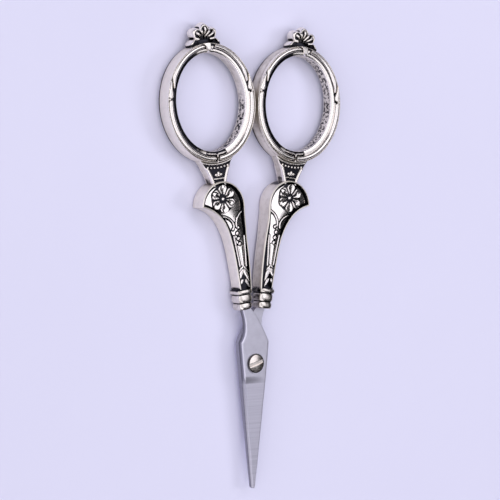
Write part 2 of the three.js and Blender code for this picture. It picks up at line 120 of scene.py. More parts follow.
def bezier(points, count=80):
    """A cubic curve: its four points weighted by the Bernstein polynomials."""
    t = np.linspace(0.0, 1.0, count)
    weights = [(1.0 - t) ** 3, 3.0 * t * (1.0 - t) ** 2, 3.0 * t * t * (1.0 - t), t**3]
    return np.transpose(weights) @ np.array(points)


def flowing(start, lean, pull, end, end_lean, end_pull):
    """A cubic curve that leaves start and comes in to end along lines that lean from +Y."""
    return bezier([start, leaning(start, lean, pull), leaning(end, end_lean, -end_pull), end])


def crowded(low, high, count, spots, reach, gain):
    """Stations at equal steps of a density, 1 + gain e^-((x - spot) / reach)^2, that peaks at spots."""
    fine = np.linspace(low, high, 20 * count)
    near = (fine[:, None] - np.asarray(spots)[None]) / reach
    density = 1.0 + gain * np.exp(-(near**2)).sum(axis=1)
    total = np.concatenate([[0.0], np.cumsum((density[1:] + density[:-1]) / 2.0)])
    return np.interp(np.linspace(0.0, total[-1], count), total, fine)


print("an S curve, a quarter of the way along:", smooth(0.0, 1.0, 0.25))

# %% [markdown]
# Every piece is a skin over closed sections, like canvas over the ribs of a boat. A bevelled curve
# gives a tube too, but with the same profile all along, and here each section has its own relief.
# The sections are stacked in one array of rows and columns, so the faces are index arithmetic on
# whole arrays. Three values ride on the points for the material to read: where patina stays and where
# shade is painted, where the metal is left as cast, and where the casting is pitted.


# %% Skins
def skin(sections, loop=False, **finish):
    """Quads between closed sections (rows, columns, 3), with a fan over each end unless they loop.

    The sum of a . (b x c) over the triangles is six times the volume, so its sign shows which way
    the faces point, and they are turned outwards."""
    rows, columns = sections.shape[:2]
    points = sections.reshape(-1, 3)
    finish = {key: np.broadcast_to(value, (rows, columns)) for key, value in finish.items()}
    here = np.arange(rows * columns).reshape(rows, columns)
    above = np.roll(here, -1, axis=0)
    quads = np.stack([here, np.roll(here, -1, 1), np.roll(above, -1, 1), above], axis=-1)
    fans = np.empty((0, 3), int)
    if not loop:
        quads = quads[:-1]
        points = np.concatenate([points, sections[[0, -1]].mean(axis=1)])
        first = np.full(columns, rows * columns)
        low_fan = np.stack([first, np.roll(here[0], -1), here[0]], axis=-1)
        high_fan = np.stack([first + 1, here[-1], np.roll(here[-1], -1)], axis=-1)
        fans = np.concatenate([low_fan, high_fan])
        finish = {key: np.append(value, value[[0, -1]].mean(axis=1)) for key, value in finish.items()}
    quads = quads.reshape(-1, 4)
    triangles = np.concatenate([quads[:, :3], quads[:, [0, 2, 3]], fans])
    a, b, c = (points[triangles[:, k]] for k in range(3))
    if np.einsum("ij,ij->", a, np.cross(b, c)) < 0.0:
        quads = quads[:, ::-1]
        fans = fans[:, ::-1]
    return {"points": points, "quads": quads, "fans": fans, "finish": finish}


def around(front, outer, back, inner):
    """Rows of sections: across the front, over the outer wall, back across and over the inner wall."""
    return np.concatenate([front, outer, back[:, ::-1], inner], axis=1)


def heights(front, back, wall):
    """Heights round the sections; each wall goes from the front's edge to as far behind the middle."""
    return around(front, wall * front[:, -1:], -back, -wall * front[:, :1])


# %% Pieces
# The first value carries patina and painted shade alike.
FINISHES = ("patina", "cast", "pits")


def make_piece(name, shell, material, side, node, sharp=60.0):
    """A mesh object from a skin, riding on its half and standing for the CAD node."""
    body, turn = HALVES[side]
    mesh = bpy.data.meshes.new(name)
    faces = shell["quads"].tolist() + shell["fans"].tolist()
    mesh.from_pydata(in_frame(shell["points"], turn).tolist(), [], faces)
    for key in FINISHES:
        values = shell["finish"].get(key, np.zeros(len(shell["points"])))
        layer = mesh.attributes.new(key, "FLOAT", "POINT")
        layer.data.foreach_set("value", values.ravel().astype(np.float32))
    mesh.shade_smooth()
    mesh.set_sharp_from_angle(angle=math.radians(sharp))
    mesh.materials.append(material)
    piece = bpy.data.objects.new(name, mesh)
    bpy.context.scene.collection.objects.link(piece)
    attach(piece, body)
    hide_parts(node)
    return piece


print("values on the points:", *FINISHES)

# %% [markdown]
# Materials are node trees, and writing them by hand is repetitive, so one helper adds a node, sets
# it and wires its inputs. Effects that several metals share could be copied into each of them, but
# as node groups they are kept in one place. The first is a cloudy unevenness, which keeps plating and
# steel from looking like plastic. The second is hairlines: noise stretched along one direction, as a
# grinding belt or a polishing cloth leaves it.


# %% Shared effects
def add(tree, kind, inputs=None, **settings):
    """A node with its settings; inputs maps a socket to a value or to the output that feeds it."""
    node = tree.nodes.new(kind)
    for key, value in settings.items():
        setattr(node, key, value)
    for key, value in (inputs or {}).items():
        if isinstance(value, bpy.types.NodeSocket):
            tree.links.new(value, node.inputs[key])
        else:
            node.inputs[key].default_value = value
    return node


def noise_group(name, detail, roughness, low, high):
    """Noise in Object coordinates times Stretch, with its values from low to high spread over 0 to 1."""
    group = bpy.data.node_groups.new(name, "ShaderNodeTree")
    group.interface.new_socket("Stretch", in_out="INPUT", socket_type="NodeSocketVector")
    group.interface.new_socket("Value", in_out="OUTPUT", socket_type="NodeSocketFloat")
    place = add(group, "ShaderNodeTexCoord").outputs["Object"]
    stretch = add(group, "NodeGroupInput").outputs["Stretch"]
    place = add(group, "ShaderNodeVectorMath", {0: place, 1: stretch}, operation="MULTIPLY").outputs[0]
    settings = {"Vector": place, "Scale": 1.0, "Detail": detail, "Roughness": roughness}
    noise = add(group, "ShaderNodeTexNoise", settings).outputs["Fac"]
    spread = add(group, "ShaderNodeMapRange", {"Value": noise, "From Min": low, "From Max": high})
    add(group, "NodeGroupOutput", {"Value": spread.outputs["Result"]})
    return group


CLOUDY = noise_group("cloudy unevenness", 5.0, 0.6, 0.3, 0.7)
HAIRLINES = noise_group("hairlines", 3.0, 0.7, 0.32, 0.68)
print("shared effects:", CLOUDY.name, "and", HAIRLINES.name)

# %% [markdown]
# The handles are a soft alloy, cast, plated with silver, dipped in black and then rubbed, so the
# black is left only in the hollows. An Ambient Occlusion node could find the hollows, but the shapes
# know their own grooves, so they write a patina value on their points; some pieces add painted shade
# to the same value. The material mixes three states of one metal: polished on the raised ornament,
# satin and faintly mottled on the plain walls, and glossy black where that value is high, which
# paints patina and shade alike. Noise is added to that value before it is cut off, so the black has a
# ragged edge.


# %% Helpers for materials
def use_group(tree, group, *stretch):
    """A shared effect's value in a material; one stretch serves all three directions."""
    stretch = stretch * 3 if len(stretch) == 1 else stretch
    return add(tree, "ShaderNodeGroup", {"Stretch": stretch}, node_tree=group).outputs["Value"]


def attribute(tree, name):
    """One of the values that ride on a mesh's points."""
    return add(tree, "ShaderNodeAttribute", attribute_name=name).outputs["Fac"]


def blend_colour(tree, share, start, end):
    """A colour that goes from start to end by share; either may be a colour or a socket."""
    return add(tree, "ShaderNodeMix", {0: share, 6: start, 7: end}, data_type="RGBA").outputs[2]


def blend_value(tree, share, start, end):
    """A number that goes from start to end by share."""
    return add(tree, "ShaderNodeMix", {0: share, 2: start, 3: end}).outputs[0]


def cut(tree, value, low, high):
    """A mask that rises smoothly from 0 at low to 1 at high."""
    inputs = {"Value": value, "From Min": low, "From Max": high}
    node = add(tree, "ShaderNodeMapRange", inputs, interpolation_type="SMOOTHSTEP")
    return node.outputs["Result"]


def sums(tree, operation, a, b):
    """Two numbers, or sockets, joined by a Math node."""
    return add(tree, "ShaderNodeMath", {0: a, 1: b}, operation=operation).outputs[0]


def new_material(name):
    """A material with its node tree and its Principled shader."""
    material = bpy.data.materials.new(name)
    material.use_nodes = True
    return material, material.node_tree, material.node_tree.nodes["Principled BSDF"]


def finish_metal(tree, shader, colour, rough, height, depth, strength):
    """Make the shader a metal with a colour, a roughness and a bump as deep as depth in metres."""
    bump = {"Height": height, "Distance": depth, "Strength": strength}
    normal = add(tree, "ShaderNodeBump", bump).outputs["Normal"]
    for key, socket in (("Base Color", colour), ("Roughness", rough), ("Normal", normal)):
        tree.links.new(socket, shader.inputs[key])
    shader.inputs["Metallic"].default_value = 1.0


# %% Antique silver
POLISHED = (0.94, 0.89, 0.845, 1.0)
SATIN = (1.0, 0.94, 0.84, 1.0)
DULLED = (0.87, 0.82, 0.725, 1.0)
# The brown and the black below serve for patina and for painted shade.
BROWN_STAIN_AND_SHADE = (0.30, 0.25, 0.19, 1.0)
BLACK_PATINA_AND_SHADE = (0.02, 0.02, 0.025, 1.0)
PIT_DEPTH = 4.0


def antique_silver():
    """Polished, satin and black silver, mixed by noise, cast, pits and patina with painted shade."""
    material, tree, shader = new_material("antique silver")
    patina, cast, pitted = (attribute(tree, name) for name in FINISHES)
    clouds = use_group(tree, CLOUDY, 700.0)
    fine = use_group(tree, CLOUDY, 3500.0)
    broad = use_group(tree, CLOUDY, 190.0)
    noise = sums(tree, "MULTIPLY", clouds, 0.3)
    noise = sums(tree, "ADD", noise, sums(tree, "MULTIPLY", broad, 0.14))
    # The patina value also carries painted shade, so stain and black paint shade as well as patina.
    stain = sums(tree, "MULTIPLY", cut(tree, sums(tree, "ADD", patina, noise), 0.34, 0.95), 0.75)
    noise = sums(tree, "MULTIPLY", noise, blend_value(tree, cast, 1.0, 0.5))
    black = cut(tree, sums(tree, "ADD", patina, noise), 0.58, 0.82)
    spots = cut(tree, use_group(tree, CLOUDY, 1500.0), 0.46, 0.56)
    pits = sums(tree, "MULTIPLY", spots, pitted)
    dark = sums(tree, "MAXIMUM", black, pits)
    satin = blend_colour(tree, clouds, DULLED, SATIN)
    metal = blend_colour(tree, cast, POLISHED, satin)
    metal = blend_colour(tree, stain, metal, BROWN_STAIN_AND_SHADE)
    metal = blend_colour(tree, dark, metal, BLACK_PATINA_AND_SHADE)
    shine = blend_value(tree, clouds, 0.14, 0.24)
    grain = blend_value(tree, clouds, 0.36, 0.48)
    rough = blend_value(tree, dark, blend_value(tree, cast, shine, grain), 0.16)
    height = sums(tree, "MULTIPLY", fine, blend_value(tree, cast, 0.12, 1.0))
    height = sums(tree, "SUBTRACT", height, sums(tree, "MULTIPLY", pits, PIT_DEPTH))
    finish_metal(tree, shader, metal, rough, height, 0.00001, 0.6)
    return material


SILVER = antique_silver()
print("material:", SILVER.name)

# %% [markdown]
# The finger ring is a profile carried round an ellipse: a ledge that rounds down into the opening, a
# stout bead and a thin outer rim. The bead isn't one hoop but a ribbon in pieces. A collar and a
# small ball part it at the top, an hourglass clasp at the bottom, and on each side a pointed leaf
# laps over its upper length. A torus or a bevelled curve would give plain hoops; a profile worked out
# afresh at each angle lets the pieces start, end and lap. Painted shade darkens one side of the
# ledge, the outer half of the rim on the other side, and the outer wall where it faces the other
# ring. The plain walls bulge a little, and sand from the mould has pitted the inner one.

# %% The ring's path
RING_RISE = 71.3
RING_LEAN = math.radians(6.3)
RING_WIDTH = 29.5
RING_LENGTH = 32.6
OPENING_WIDTH = 22.9
OPENING_LENGTH = 26.7
OPENING_SHIFT = 0.3
ring_middle = np.array([(handle_low[0] + handle_high[0]) / 2.0, RING_RISE])


def ellipse(angle, width, length, shift=0.0):
    """(width/2 cos a, length/2 sin a + shift), turned by the ring's lean about its middle."""
    along = length / 2.0 * np.sin(angle) + shift
    return leaning(ring_middle, RING_LEAN, along, width / 2.0 * np.cos(angle))


print("ring's middle", ring_middle.round(2), "mm from the pivot")

# %% The ring's mouldings
RIBBON_RISE = 0.78
GROOVE = CREST - RIBBON_RISE
BEAD_MIDDLE = 0.65
BEAD_HALF = 0.25
LOWER_START = -88.0
LOWER_END = 7.0
LEAF_FOOT = 8.8
LEAF_HALF = 1.1 * BEAD_HALF
LAP_LOW = 16.0
LAP_HIGH = 30.0
LAP_GAP = 0.06
LEDGE = 0.36
LEDGE_DROP = 0.42
BALL_TURN = 6.5
BALL_SHARE = 0.53
BALL_RADIUS = 0.66
KNOB_TURN = 7.9
KNOB_SHARE = 0.78
KNOB_RADIUS = 0.42
KNOB_RISE = 0.66
COLLAR_TURN = 3.2
COLLAR_SLANT = 6.5
COLLAR_RISE = 0.76
CLASP_WAIST = 0.6
CLASP_RISE = 0.7
SHORT_SHARE = 0.24
SHORT_RISE = 0.4
EDGE_SHARE = 0.945
EDGE_HALF = 0.055
EDGE_RISE = 0.36


def ring_beads(share, angle, face):
    """Height of the ribbon's pieces above the groove, by share of the band and degrees up the ring.

    Each piece is a swell across the band whose middle and half width change along the ring, and the
    highest piece wins. A slanting cut parts the upper length from the leaf that laps over it. The ball
    at the top is on the right of whichever face is looked at."""
    rise = np.degrees(np.arcsin(np.sin(angle)))
    on_right = np.cos(angle) * face > 0.0
    top_end = 90.0 - np.where(on_right, 9.6, 0.5 + COLLAR_SLANT * share)
    lower = 0.94 * BEAD_HALF * blunt(rise - LOWER_START, 3.0) * blunt(LOWER_END - rise, 2.6)
    lap = LEDGE + 0.06 + 0.53 * (rise - LAP_LOW) / (LAP_HIGH - LAP_LOW)
    inside = BEAD_MIDDLE - BEAD_HALF
    upper = np.clip(lap - LAP_GAP - inside, 0.0, 2.0 * BEAD_HALF) / 2.0
    upper_bar = swell(share - inside - upper, upper * blunt(top_end - rise, 3.0))
    outside = BEAD_MIDDLE + LEAF_HALF
    leaf = np.clip(outside - lap - LAP_GAP, 0.0, 2.0 * LEAF_HALF) / 2.0
    leaf_bar = swell(share - outside + leaf, leaf * blunt(rise - LEAF_FOOT, 2.4))
    bars = [upper_bar * smooth(0.0, 0.06, upper), leaf_bar * smooth(0.0, 0.06, leaf)]
    ribbon = RIBBON_RISE * np.max([swell(share - BEAD_MIDDLE, lower)] + bars, axis=0)
    aside = np.where(on_right, 90.0 - rise, rise - 90.0)
    from_ball = np.hypot((aside - BALL_TURN) * 0.25, (share - BALL_SHARE) * 2.8)
    ball = RIBBON_RISE * swell(from_ball, BALL_RADIUS)
    from_knob = np.hypot((rise - KNOB_TURN) * 0.27, (share - KNOB_SHARE) * 3.2)
    knob = KNOB_RISE * swell(from_knob, KNOB_RADIUS)
    wedge = 1.2 - COLLAR_SLANT * share
    collar = smooth(wedge - 0.3, wedge + 0.4, aside) * smooth(COLLAR_TURN + 0.7, COLLAR_TURN, aside)
    collar = COLLAR_RISE * collar * swell(share - 0.5, 0.56) ** 0.3
    waist = CLASP_WAIST + 7.0 * (share - BEAD_MIDDLE) ** 2
    clasp = CLASP_RISE * smooth(waist, waist - 0.6, rise + 90.0) * smooth(0.2, 0.3, share)
    return np.max(np.broadcast_arrays(ribbon, ball, knob, collar, clasp), axis=0)


def ring_height(share, angle, face):
    """Height of the ribbon, rim, ledge and two short leaves, and where patina and painted shade go.

    The ledge falls into the opening as d (1 - (1 - s^3)^0.5), s being the share of its width."""
    from_clasp = np.degrees(np.arcsin(np.sin(angle))) + 90.0
    short = 0.09 * blunt(from_clasp - 1.2, 1.5) * blunt(15.0 - from_clasp, 5.0)
    short = SHORT_RISE * swell(share - SHORT_SHARE, short)
    rim = EDGE_RISE * swell(share - EDGE_SHARE, EDGE_HALF)
    relief = np.max(np.broadcast_arrays(ring_beads(share, angle, face), short, rim), axis=0)
    inward = np.clip(1.0 - share / LEDGE, 0.0, 1.0)
    fall = LEDGE_DROP * (1.0 - np.sqrt(1.0 - inward**3)) + 0.2 * smooth(0.965, 1.0, share)
    # The ledge is black on one side of each face as painted shade, and black near the clasp on both
    # sides.
    darker_side = smooth(0.0, 0.55, -np.cos(angle) * face)
    darker_side = darker_side * (0.66 + 0.24 * smooth(0.0, 0.4, np.sin(angle)))
    moat = np.maximum(darker_side, smooth(18.0, 14.0, from_clasp)) * smooth(0.0, 0.03, share)
    rubbed = smooth(-0.1, 0.3, np.cos(angle) * face) * smooth(0.16, 0.1, np.sin(angle))
    groove = smooth(LEDGE - 0.04, LEDGE - 0.01, share) * (1.0 - rubbed * smooth(0.62, 0.5, share))
    return GROOVE + relief - fall, np.maximum(moat, groove)


print("ring's groove", GROOVE.round(2), "and crest", CREST.round(2), "mm above the middle plane")

# %% The ring's skin
RING_ROWS = 620
DETAILS = np.radians([8.0, 90.0, 172.0, 270.0])
DETAIL_REACH = math.radians(11.0)
LEDGE_COLUMNS = 16
BAND_COLUMNS = 40
WALL_COLUMNS = 17
WALL_BULGE = 0.05
HAIR = 0.004


def crease(height, passes, low, high):
    """How far the surface lies below its own blurred self: 0 below low, 1 above high."""
    return smooth(low, high, soften(height, passes) - height)


def groove_patina(height, low, high):
    """1 in a groove below low and 0 above high, or 1 in a crease."""
    return np.maximum(smooth(high, low, height), crease(height, 6, 0.03, 0.11))


def ring_skin():
    """Sections from the opening's ellipse to the outer one, carried round both; walls bulge as w^2."""
    angle = crowded(-math.pi / 4, 7 * math.pi / 4, RING_ROWS + 1, DETAILS, DETAIL_REACH, 2.2)
    angle = angle[:-1, None]
    inward = LEDGE * (1.0 - np.cos(np.linspace(0.0, math.pi / 2.0, LEDGE_COLUMNS)))
    share = np.concatenate([inward[:-1], np.linspace(LEDGE, 1.0, BAND_COLUMNS)])[None]
    front, front_window = ring_height(share, angle, 1.0)
    back, back_window = ring_height(share, angle, -1.0)
    wall = np.linspace(1.0, -1.0, WALL_COLUMNS + 2)[None, 1:-1]
    plain = np.zeros((RING_ROWS, WALL_COLUMNS))
    shares = np.broadcast_to((1.0 - WALL_BULGE) * share, front.shape)
    outwards = plain + 1.0 - WALL_BULGE * wall**2
    inwards = plain - WALL_BULGE * (1.0 - wall**2)
    across = around(shares, outwards, shares, inwards)
    start = ellipse(angle, OPENING_WIDTH, OPENING_LENGTH, OPENING_SHIFT)
    end = ellipse(angle, RING_WIDTH - HAIR, RING_LENGTH - HAIR)
    sections = np.dstack([start + (end - start) * across[:, :, None], heights(front, back, wall)])
    edge = smooth(1.0, 0.96, share)
    # outer is painted shade: it darkens the outer half of the rim on the side of each face that ends up
    # on the right.
    outer = 0.8 * smooth(0.925, 0.955, share)
    dark = []
    for way, face, window in ((1.0, front, front_window), (-1.0, back, back_window)):
        hollow = edge * window * groove_patina(face, GROOVE + 0.1, GROOVE + 0.36)
        dark.append(np.maximum(hollow, outer * smooth(0.1, 0.5, np.cos(angle) * way)))
    # Painted shade on the outer wall where it faces the other ring (near_midline); towards the wall's
    # edges a little patina.
    near_midline = smooth(0.2, -0.9, np.cos(angle))
    outside = 0.1 + 0.24 * near_midline + (0.06 + 0.24 * near_midline) * np.abs(wall) ** 3
    patina = around(dark[0], plain + outside, dark[1], plain + 0.32)
    ribbon = np.maximum(smooth(0.97, 1.0, share), 0.25) + 0.0 * front
    cast = around(ribbon, plain + 1.0, ribbon, plain + 1.0)
    pitted = np.maximum(smooth(0.2, -0.2, np.sin(angle)), 0.9 * smooth(0.0, 0.5, np.cos(angle)))
    pitted = (0.1 + 0.9 * pitted) * smooth(1.0, 0.75, np.abs(wall))
    pits = around(0.0 * front, plain, 0.0 * front, pitted)
    return skin(sections, loop=True, patina=patina, cast=cast, pits=pits)


def make_both(name, shell):
    """A piece of the right handle in silver, and its twin, turned over for the left one."""
    for side in HALVES:
        piece = make_piece(f"{side}_{name}", shell, SILVER, side, f"{side}_handle")
    print(name, "has", sum(len(f.vertices) - 2 for f in piece.data.polygons), "triangles a side")


make_both("ring", ring_skin())

# %% [markdown]
# The shell finial is half a rosette: five cupped petals that spread above the ring from a black
# heart. Five petals could be modelled apart and joined, but polar coordinates give the whole shell as
# one surface. The outline is the largest of five ellipses that all pass through the root, and the
# shell rounds over from front to back along it. On each face a bright edge runs round every petal,
# with a slim rib in its black hollow. A low saddle joins the shell to the ring.

# %% The finial's petals
FINIAL_HEIGHT = 5.55
FINIAL_ROOT = 0.55
FINIAL_HALF = 2.5
FINIAL_HOLLOW = 0.75
BOWL_FLOOR = 0.6
BOWL_RISE = 1.85
LOOP_SHARE = 0.89
LOOP_HALF = 0.13
PETAL_TURNS = np.radians([-107.0, -52.0, 0.0, 52.0, 107.0])
PETAL_EDGES = np.radians([-134.0, -79.0, -26.0, 26.0, 79.0, 134.0])
PETAL_STRETCH = np.array([1.12, 1.02, 1.0, 1.02, 1.12])
PETAL_HALF = 1.75
petal_length = FINIAL_HEIGHT - FINIAL_ROOT - 0.08
finial_root = leaning(ring_middle, RING_LEAN, RING_LENGTH / 2.0 + FINIAL_ROOT)


def finial_outline(turn):
    """The largest of the petals' polar radii, l cos d / (cos^2 d + (l/2b)^2 sin^2 d)."""
    off = turn[..., None] - PETAL_TURNS
    length = petal_length * PETAL_STRETCH
    slim = length / (2.0 * PETAL_HALF)
    radius = length * np.cos(off) / (np.cos(off) ** 2 + (slim * np.sin(off)) ** 2)
    return np.maximum(np.where(np.cos(off) > 0.0, radius, 0.0).max(axis=-1), 0.9)


def aside_from(turn, radius, spokes):
    """The distance to the nearest of the spokes that point the same way."""
    off = turn[..., None] - spokes
    gaps = np.where(np.cos(off) > 0.0, np.abs(np.sin(off)), 1.0)
    return radius * gaps.min(axis=-1)


def finial_height(share, outline, turn):
    """A bowl, or the round edge 2.5 (1 - share^4)^0.5 where lower, less its hollows; and the ribs."""
    radius = share * outline
    edge = swell(aside_from(turn, radius, PETAL_EDGES), 0.22 + 0.07 * radius)
    loop = swell(share - LOOP_SHARE, LOOP_HALF)
    rib = 0.85 * swell(aside_from(turn, radius, PETAL_TURNS), 0.12 + 0.085 * radius)
    rib = rib * smooth(1.0, 1.8, radius) * smooth(0.82, 0.7, share)
    bright = np.maximum(np.maximum(edge, rib), loop) * smooth(0.5, 1.3, radius)
    bowl = BOWL_FLOOR + BOWL_RISE * smooth(0.2, 3.2, radius)
    shell = np.minimum(bowl, FINIAL_HALF * np.sqrt(1.0 - share**4))
    hollow = FINIAL_HOLLOW * (1.0 - bright) * smooth(0.3, 1.5, radius) * smooth(1.0, 0.9, share)
    return shell - hollow, bright


print("finial's root", finial_root.round(2), "mm from the pivot")

# %% The finial's skin and its saddle
FINIAL_SPOKES = 480
FINIAL_ROWS = 90
SADDLE_HALVES = (4.3, 1.8, 1.9)


def finial_skin():
    """Rows of points on growing copies of the outline, out over the front and in over the back."""
    turn = np.linspace(-math.pi, math.pi, FINIAL_SPOKES + 1)[None, :-1]
    outline = finial_outline(turn)
    share = np.sin(np.linspace(0.01, math.pi / 2.0, FINIAL_ROWS))[:, None]
    front, bright = finial_height(share, outline, turn)
    shares = np.concatenate([share, share[-2::-1]])
    height = np.concatenate([front, -front[-2::-1]])
    radius = shares * outline
    up, across = radius * np.cos(turn), radius * np.sin(turn)
    in_ring = np.hypot(across / RING_WIDTH, (RING_LENGTH / 2.0 + FINIAL_ROOT + up) / RING_LENGTH) * 2.0
    flat = leaning(finial_root, RING_LEAN, up, across)
    sections = np.dstack([flat, height * (1.0 - 0.4 * smooth(1.02, 0.97, in_ring))])
    paler = 1.0 - 0.15 * smooth(1.6, 3.4, share * outline)
    hollow = smooth(0.7, 0.3, bright) * (share < 0.95) * paler
    hollow = np.concatenate([hollow, hollow[-2::-1]])
    cleft = smooth(0.55, 0.25, aside_from(turn, radius, PETAL_EDGES)) * smooth(0.92, 0.97, shares)
    # Where the shell meets the ring it is black: patina, and painted shade under the petals.
    patina = np.max([hollow, cleft, smooth(1.05, 1.02, in_ring)], axis=0)
    return skin(sections, patina=patina, cast=0.3 + 0.5 * smooth(1.3, 0.6, np.abs(height)))


def saddle_skin():
    """A low ellipsoid on the ring's edge: (a cos v cos u, b cos v sin u, c sin v), turned to suit it."""
    v = np.linspace(-0.49 * math.pi, 0.49 * math.pi, 40)[:, None]
    u = np.linspace(0.0, 2.0 * math.pi, 97)[None, :-1]
    a, b, c = SADDLE_HALVES
    along = RING_LENGTH / 2.0 + b * np.cos(v) * np.sin(u)
    flat = leaning(ring_middle, RING_LEAN, along, a * np.cos(v) * np.cos(u))
    # The saddle is black: patina, and painted shade under the petals' edges.
    return skin(np.dstack([flat, c * np.sin(v) + 0.0 * u]), patina=0.8, cast=0.6)


make_both("saddle", saddle_skin())
make_both("finial", finial_skin())

# %% [markdown]
# The body is a shield: narrow at the ferrule, with one pointed shoulder, and domed at the top. A
# thin rim runs round a panel that swells a little, which is why it mirrors the light on one side
# and the dark room on the other. An extruded curve would give its outline, but with flat faces. So
# rows of points run straight across from the inner outline to the outer one, and the relief is a
# height worked out at each point.

# %% The body's outline
HANDLE_LEAN = math.radians(7.2)
BODY_HALF = 2.5
foot = np.array([3.55, 20.6])
FOOT_HALF = 2.05
FOOT_SPREAD = math.radians(4.5)
dome = np.array([11.3, 43.1])
DOME_RADIUS = 7.1
INNER_PULL = 4.6
INNER_FOOT_PULL = 10.4
SHOULDER_PULL = 9.4
SHOULDER_LEAN = math.radians(79.0)
OUTER_FOOT_PULL = 12.7
LOWER_ROWS = 240
DOME_ROWS = 100

inner_foot = foot - [FOOT_HALF, 0.0]
outer_foot = foot + [FOOT_HALF, 0.0]
shoulder = dome + [DOME_RADIUS, 0.0]
dome_side = dome - [DOME_RADIUS, 0.0]
inner_lean, outer_lean = HANDLE_LEAN - FOOT_SPREAD, HANDLE_LEAN + FOOT_SPREAD
inner_curve = flowing(inner_foot, inner_lean, INNER_FOOT_PULL, dome_side, 0.0, INNER_PULL)
outer_curve = flowing(
    outer_foot, outer_lean, OUTER_FOOT_PULL, shoulder, SHOULDER_LEAN, SHOULDER_PULL
)


def along_length(curve, count):
    """Points at equal steps of a chain's length."""
    steps = np.hypot(*np.diff(curve, axis=0).T)
    total = np.concatenate([[0.0], np.cumsum(steps)])
    even = np.linspace(0.0, total[-1], count)
    return np.stack([np.interp(even, total, curve[:, k]) for k in (0, 1)], axis=-1)


def arc(end, count):
    """Points of the dome's circle from the shoulder to an angle, without the shoulder itself."""
    angle = np.linspace(0.0, end, count)[1:]
    return dome + DOME_RADIUS * np.stack([np.cos(angle), np.sin(angle)], axis=-1)


over_dome = arc(0.496 * math.pi, DOME_ROWS)
right_edge = np.concatenate([along_length(outer_curve, LOWER_ROWS), over_dome])
row_rise = right_edge[:, 1]
over = np.sqrt(np.clip(DOME_RADIUS**2 - (row_rise - dome[1]) ** 2, 0.0, None))
below = np.interp(row_rise, inner_curve[:, 1], inner_curve[:, 0])
left_x = np.where(row_rise > dome[1], dome[0] - over, below)
outline = np.concatenate([along_length(outer_curve, 90), arc(math.pi, 90), inner_curve[-2::-2]])
print("body outline", outline.min(axis=0).round(2), "to", outline.max(axis=0).round(2))

# %% [markdown]
# The ornament on the panel is drawn from a few distances: to a curve for the scrolls and rails, to
# a point for the dots, and along and across a petal or a leaf. Each motif gives a height, and where
# motifs meet the highest wins, as it would in a carved mould. A bump in the material would be quicker,
# but it casts no shadow and vanishes from the side.


# %% Distances for the ornament
def distance_to(x, y, path):
    """Shortest distance from each point to a chain of points."""
    best = np.full(x.shape, np.inf)
    for (ax, ay), (dx, dy) in zip(path, np.diff(path, axis=0)):
        t = np.clip(((x - ax) * dx + (y - ay) * dy) / (dx * dx + dy * dy), 0.0, 1.0)
        best = np.minimum(best, np.hypot(x - ax - t * dx, y - ay - t * dy))
    return best


def along_across(x, y, base, tip):
    """Share of the way from base to tip, and distance to the side of that line."""
    reach = np.subtract(tip, base)
    length = np.hypot(*reach)
    unit = reach / length
    along = ((x - base[0]) * unit[0] + (y - base[1]) * unit[1]) / length
    return along, (x - base[0]) * unit[1] - (y - base[1]) * unit[0]


def leaf(x, y, base, tip, half):
    """A pointed leaf with a crease: half width half * sin(pi s^0.6) at the share s of its length."""
    along, across = along_across(x, y, base, tip)
    width = half * np.sin(math.pi * np.clip(along, 0.0, 1.0) ** 0.6)
    shape = swell(across, width) * (along > 0.0) * (along < 1.0)
    return shape * (0.8 + 0.2 * np.minimum(1.0, np.abs(across) / 0.15))


# %% The blossom
blossom = dome + [0.15, 2.3]
PETALS = 6
PETAL_START = 0.7
PETAL_REACH = 3.75
PETAL_STALK = 0.12
PETAL_BROAD = 1.44
PETAL_WIDEST = 0.68
HEART_RADIUS = 0.52
HEART_RISE = 0.46


def blossom_height(x, y):
    """Six cupped petals round a bead, broad near the tip, each with a short groove; and the radius."""
    radius = np.hypot(x - blossom[0], y - blossom[1])
    turn = np.arctan2(x - blossom[0], y - blossom[1]) - HANDLE_LEAN
    step = 2.0 * math.pi / PETALS
    off = (turn + step / 2.0) % step - step / 2.0
    along = (radius * np.cos(off) - PETAL_START) / (PETAL_REACH - PETAL_START)
    across = np.abs(radius * np.sin(off))
    opening = np.clip(along / PETAL_WIDEST, 0.0, 1.0) ** 0.9
    closing = np.clip((along - PETAL_WIDEST) / (1.03 - PETAL_WIDEST), 0.0, 1.0)
    width = (PETAL_STALK + (PETAL_BROAD - PETAL_STALK) * opening) * np.sqrt(1.0 - closing**2.2)
    cup = 0.3 + 0.14 * smooth(0.2, 0.75, across / np.maximum(width, 0.05))
    cup = (cup + 0.1 * smooth(0.4, 0.9, along)) * (0.35 + 0.65 * smooth(0.0, 0.35, along))
    groove = 0.5 * smooth(0.4 - 0.14 * along, 0.1, across) * smooth(0.72, 0.5, along)
    petal = (cup - groove) * smooth(0.0, 0.2, width - across) * (along > 0.0)
    return np.maximum(petal, HEART_RISE * swell(radius, HEART_RADIUS)), radius


print("blossom with", PETALS, "petals at", blossom.round(2))

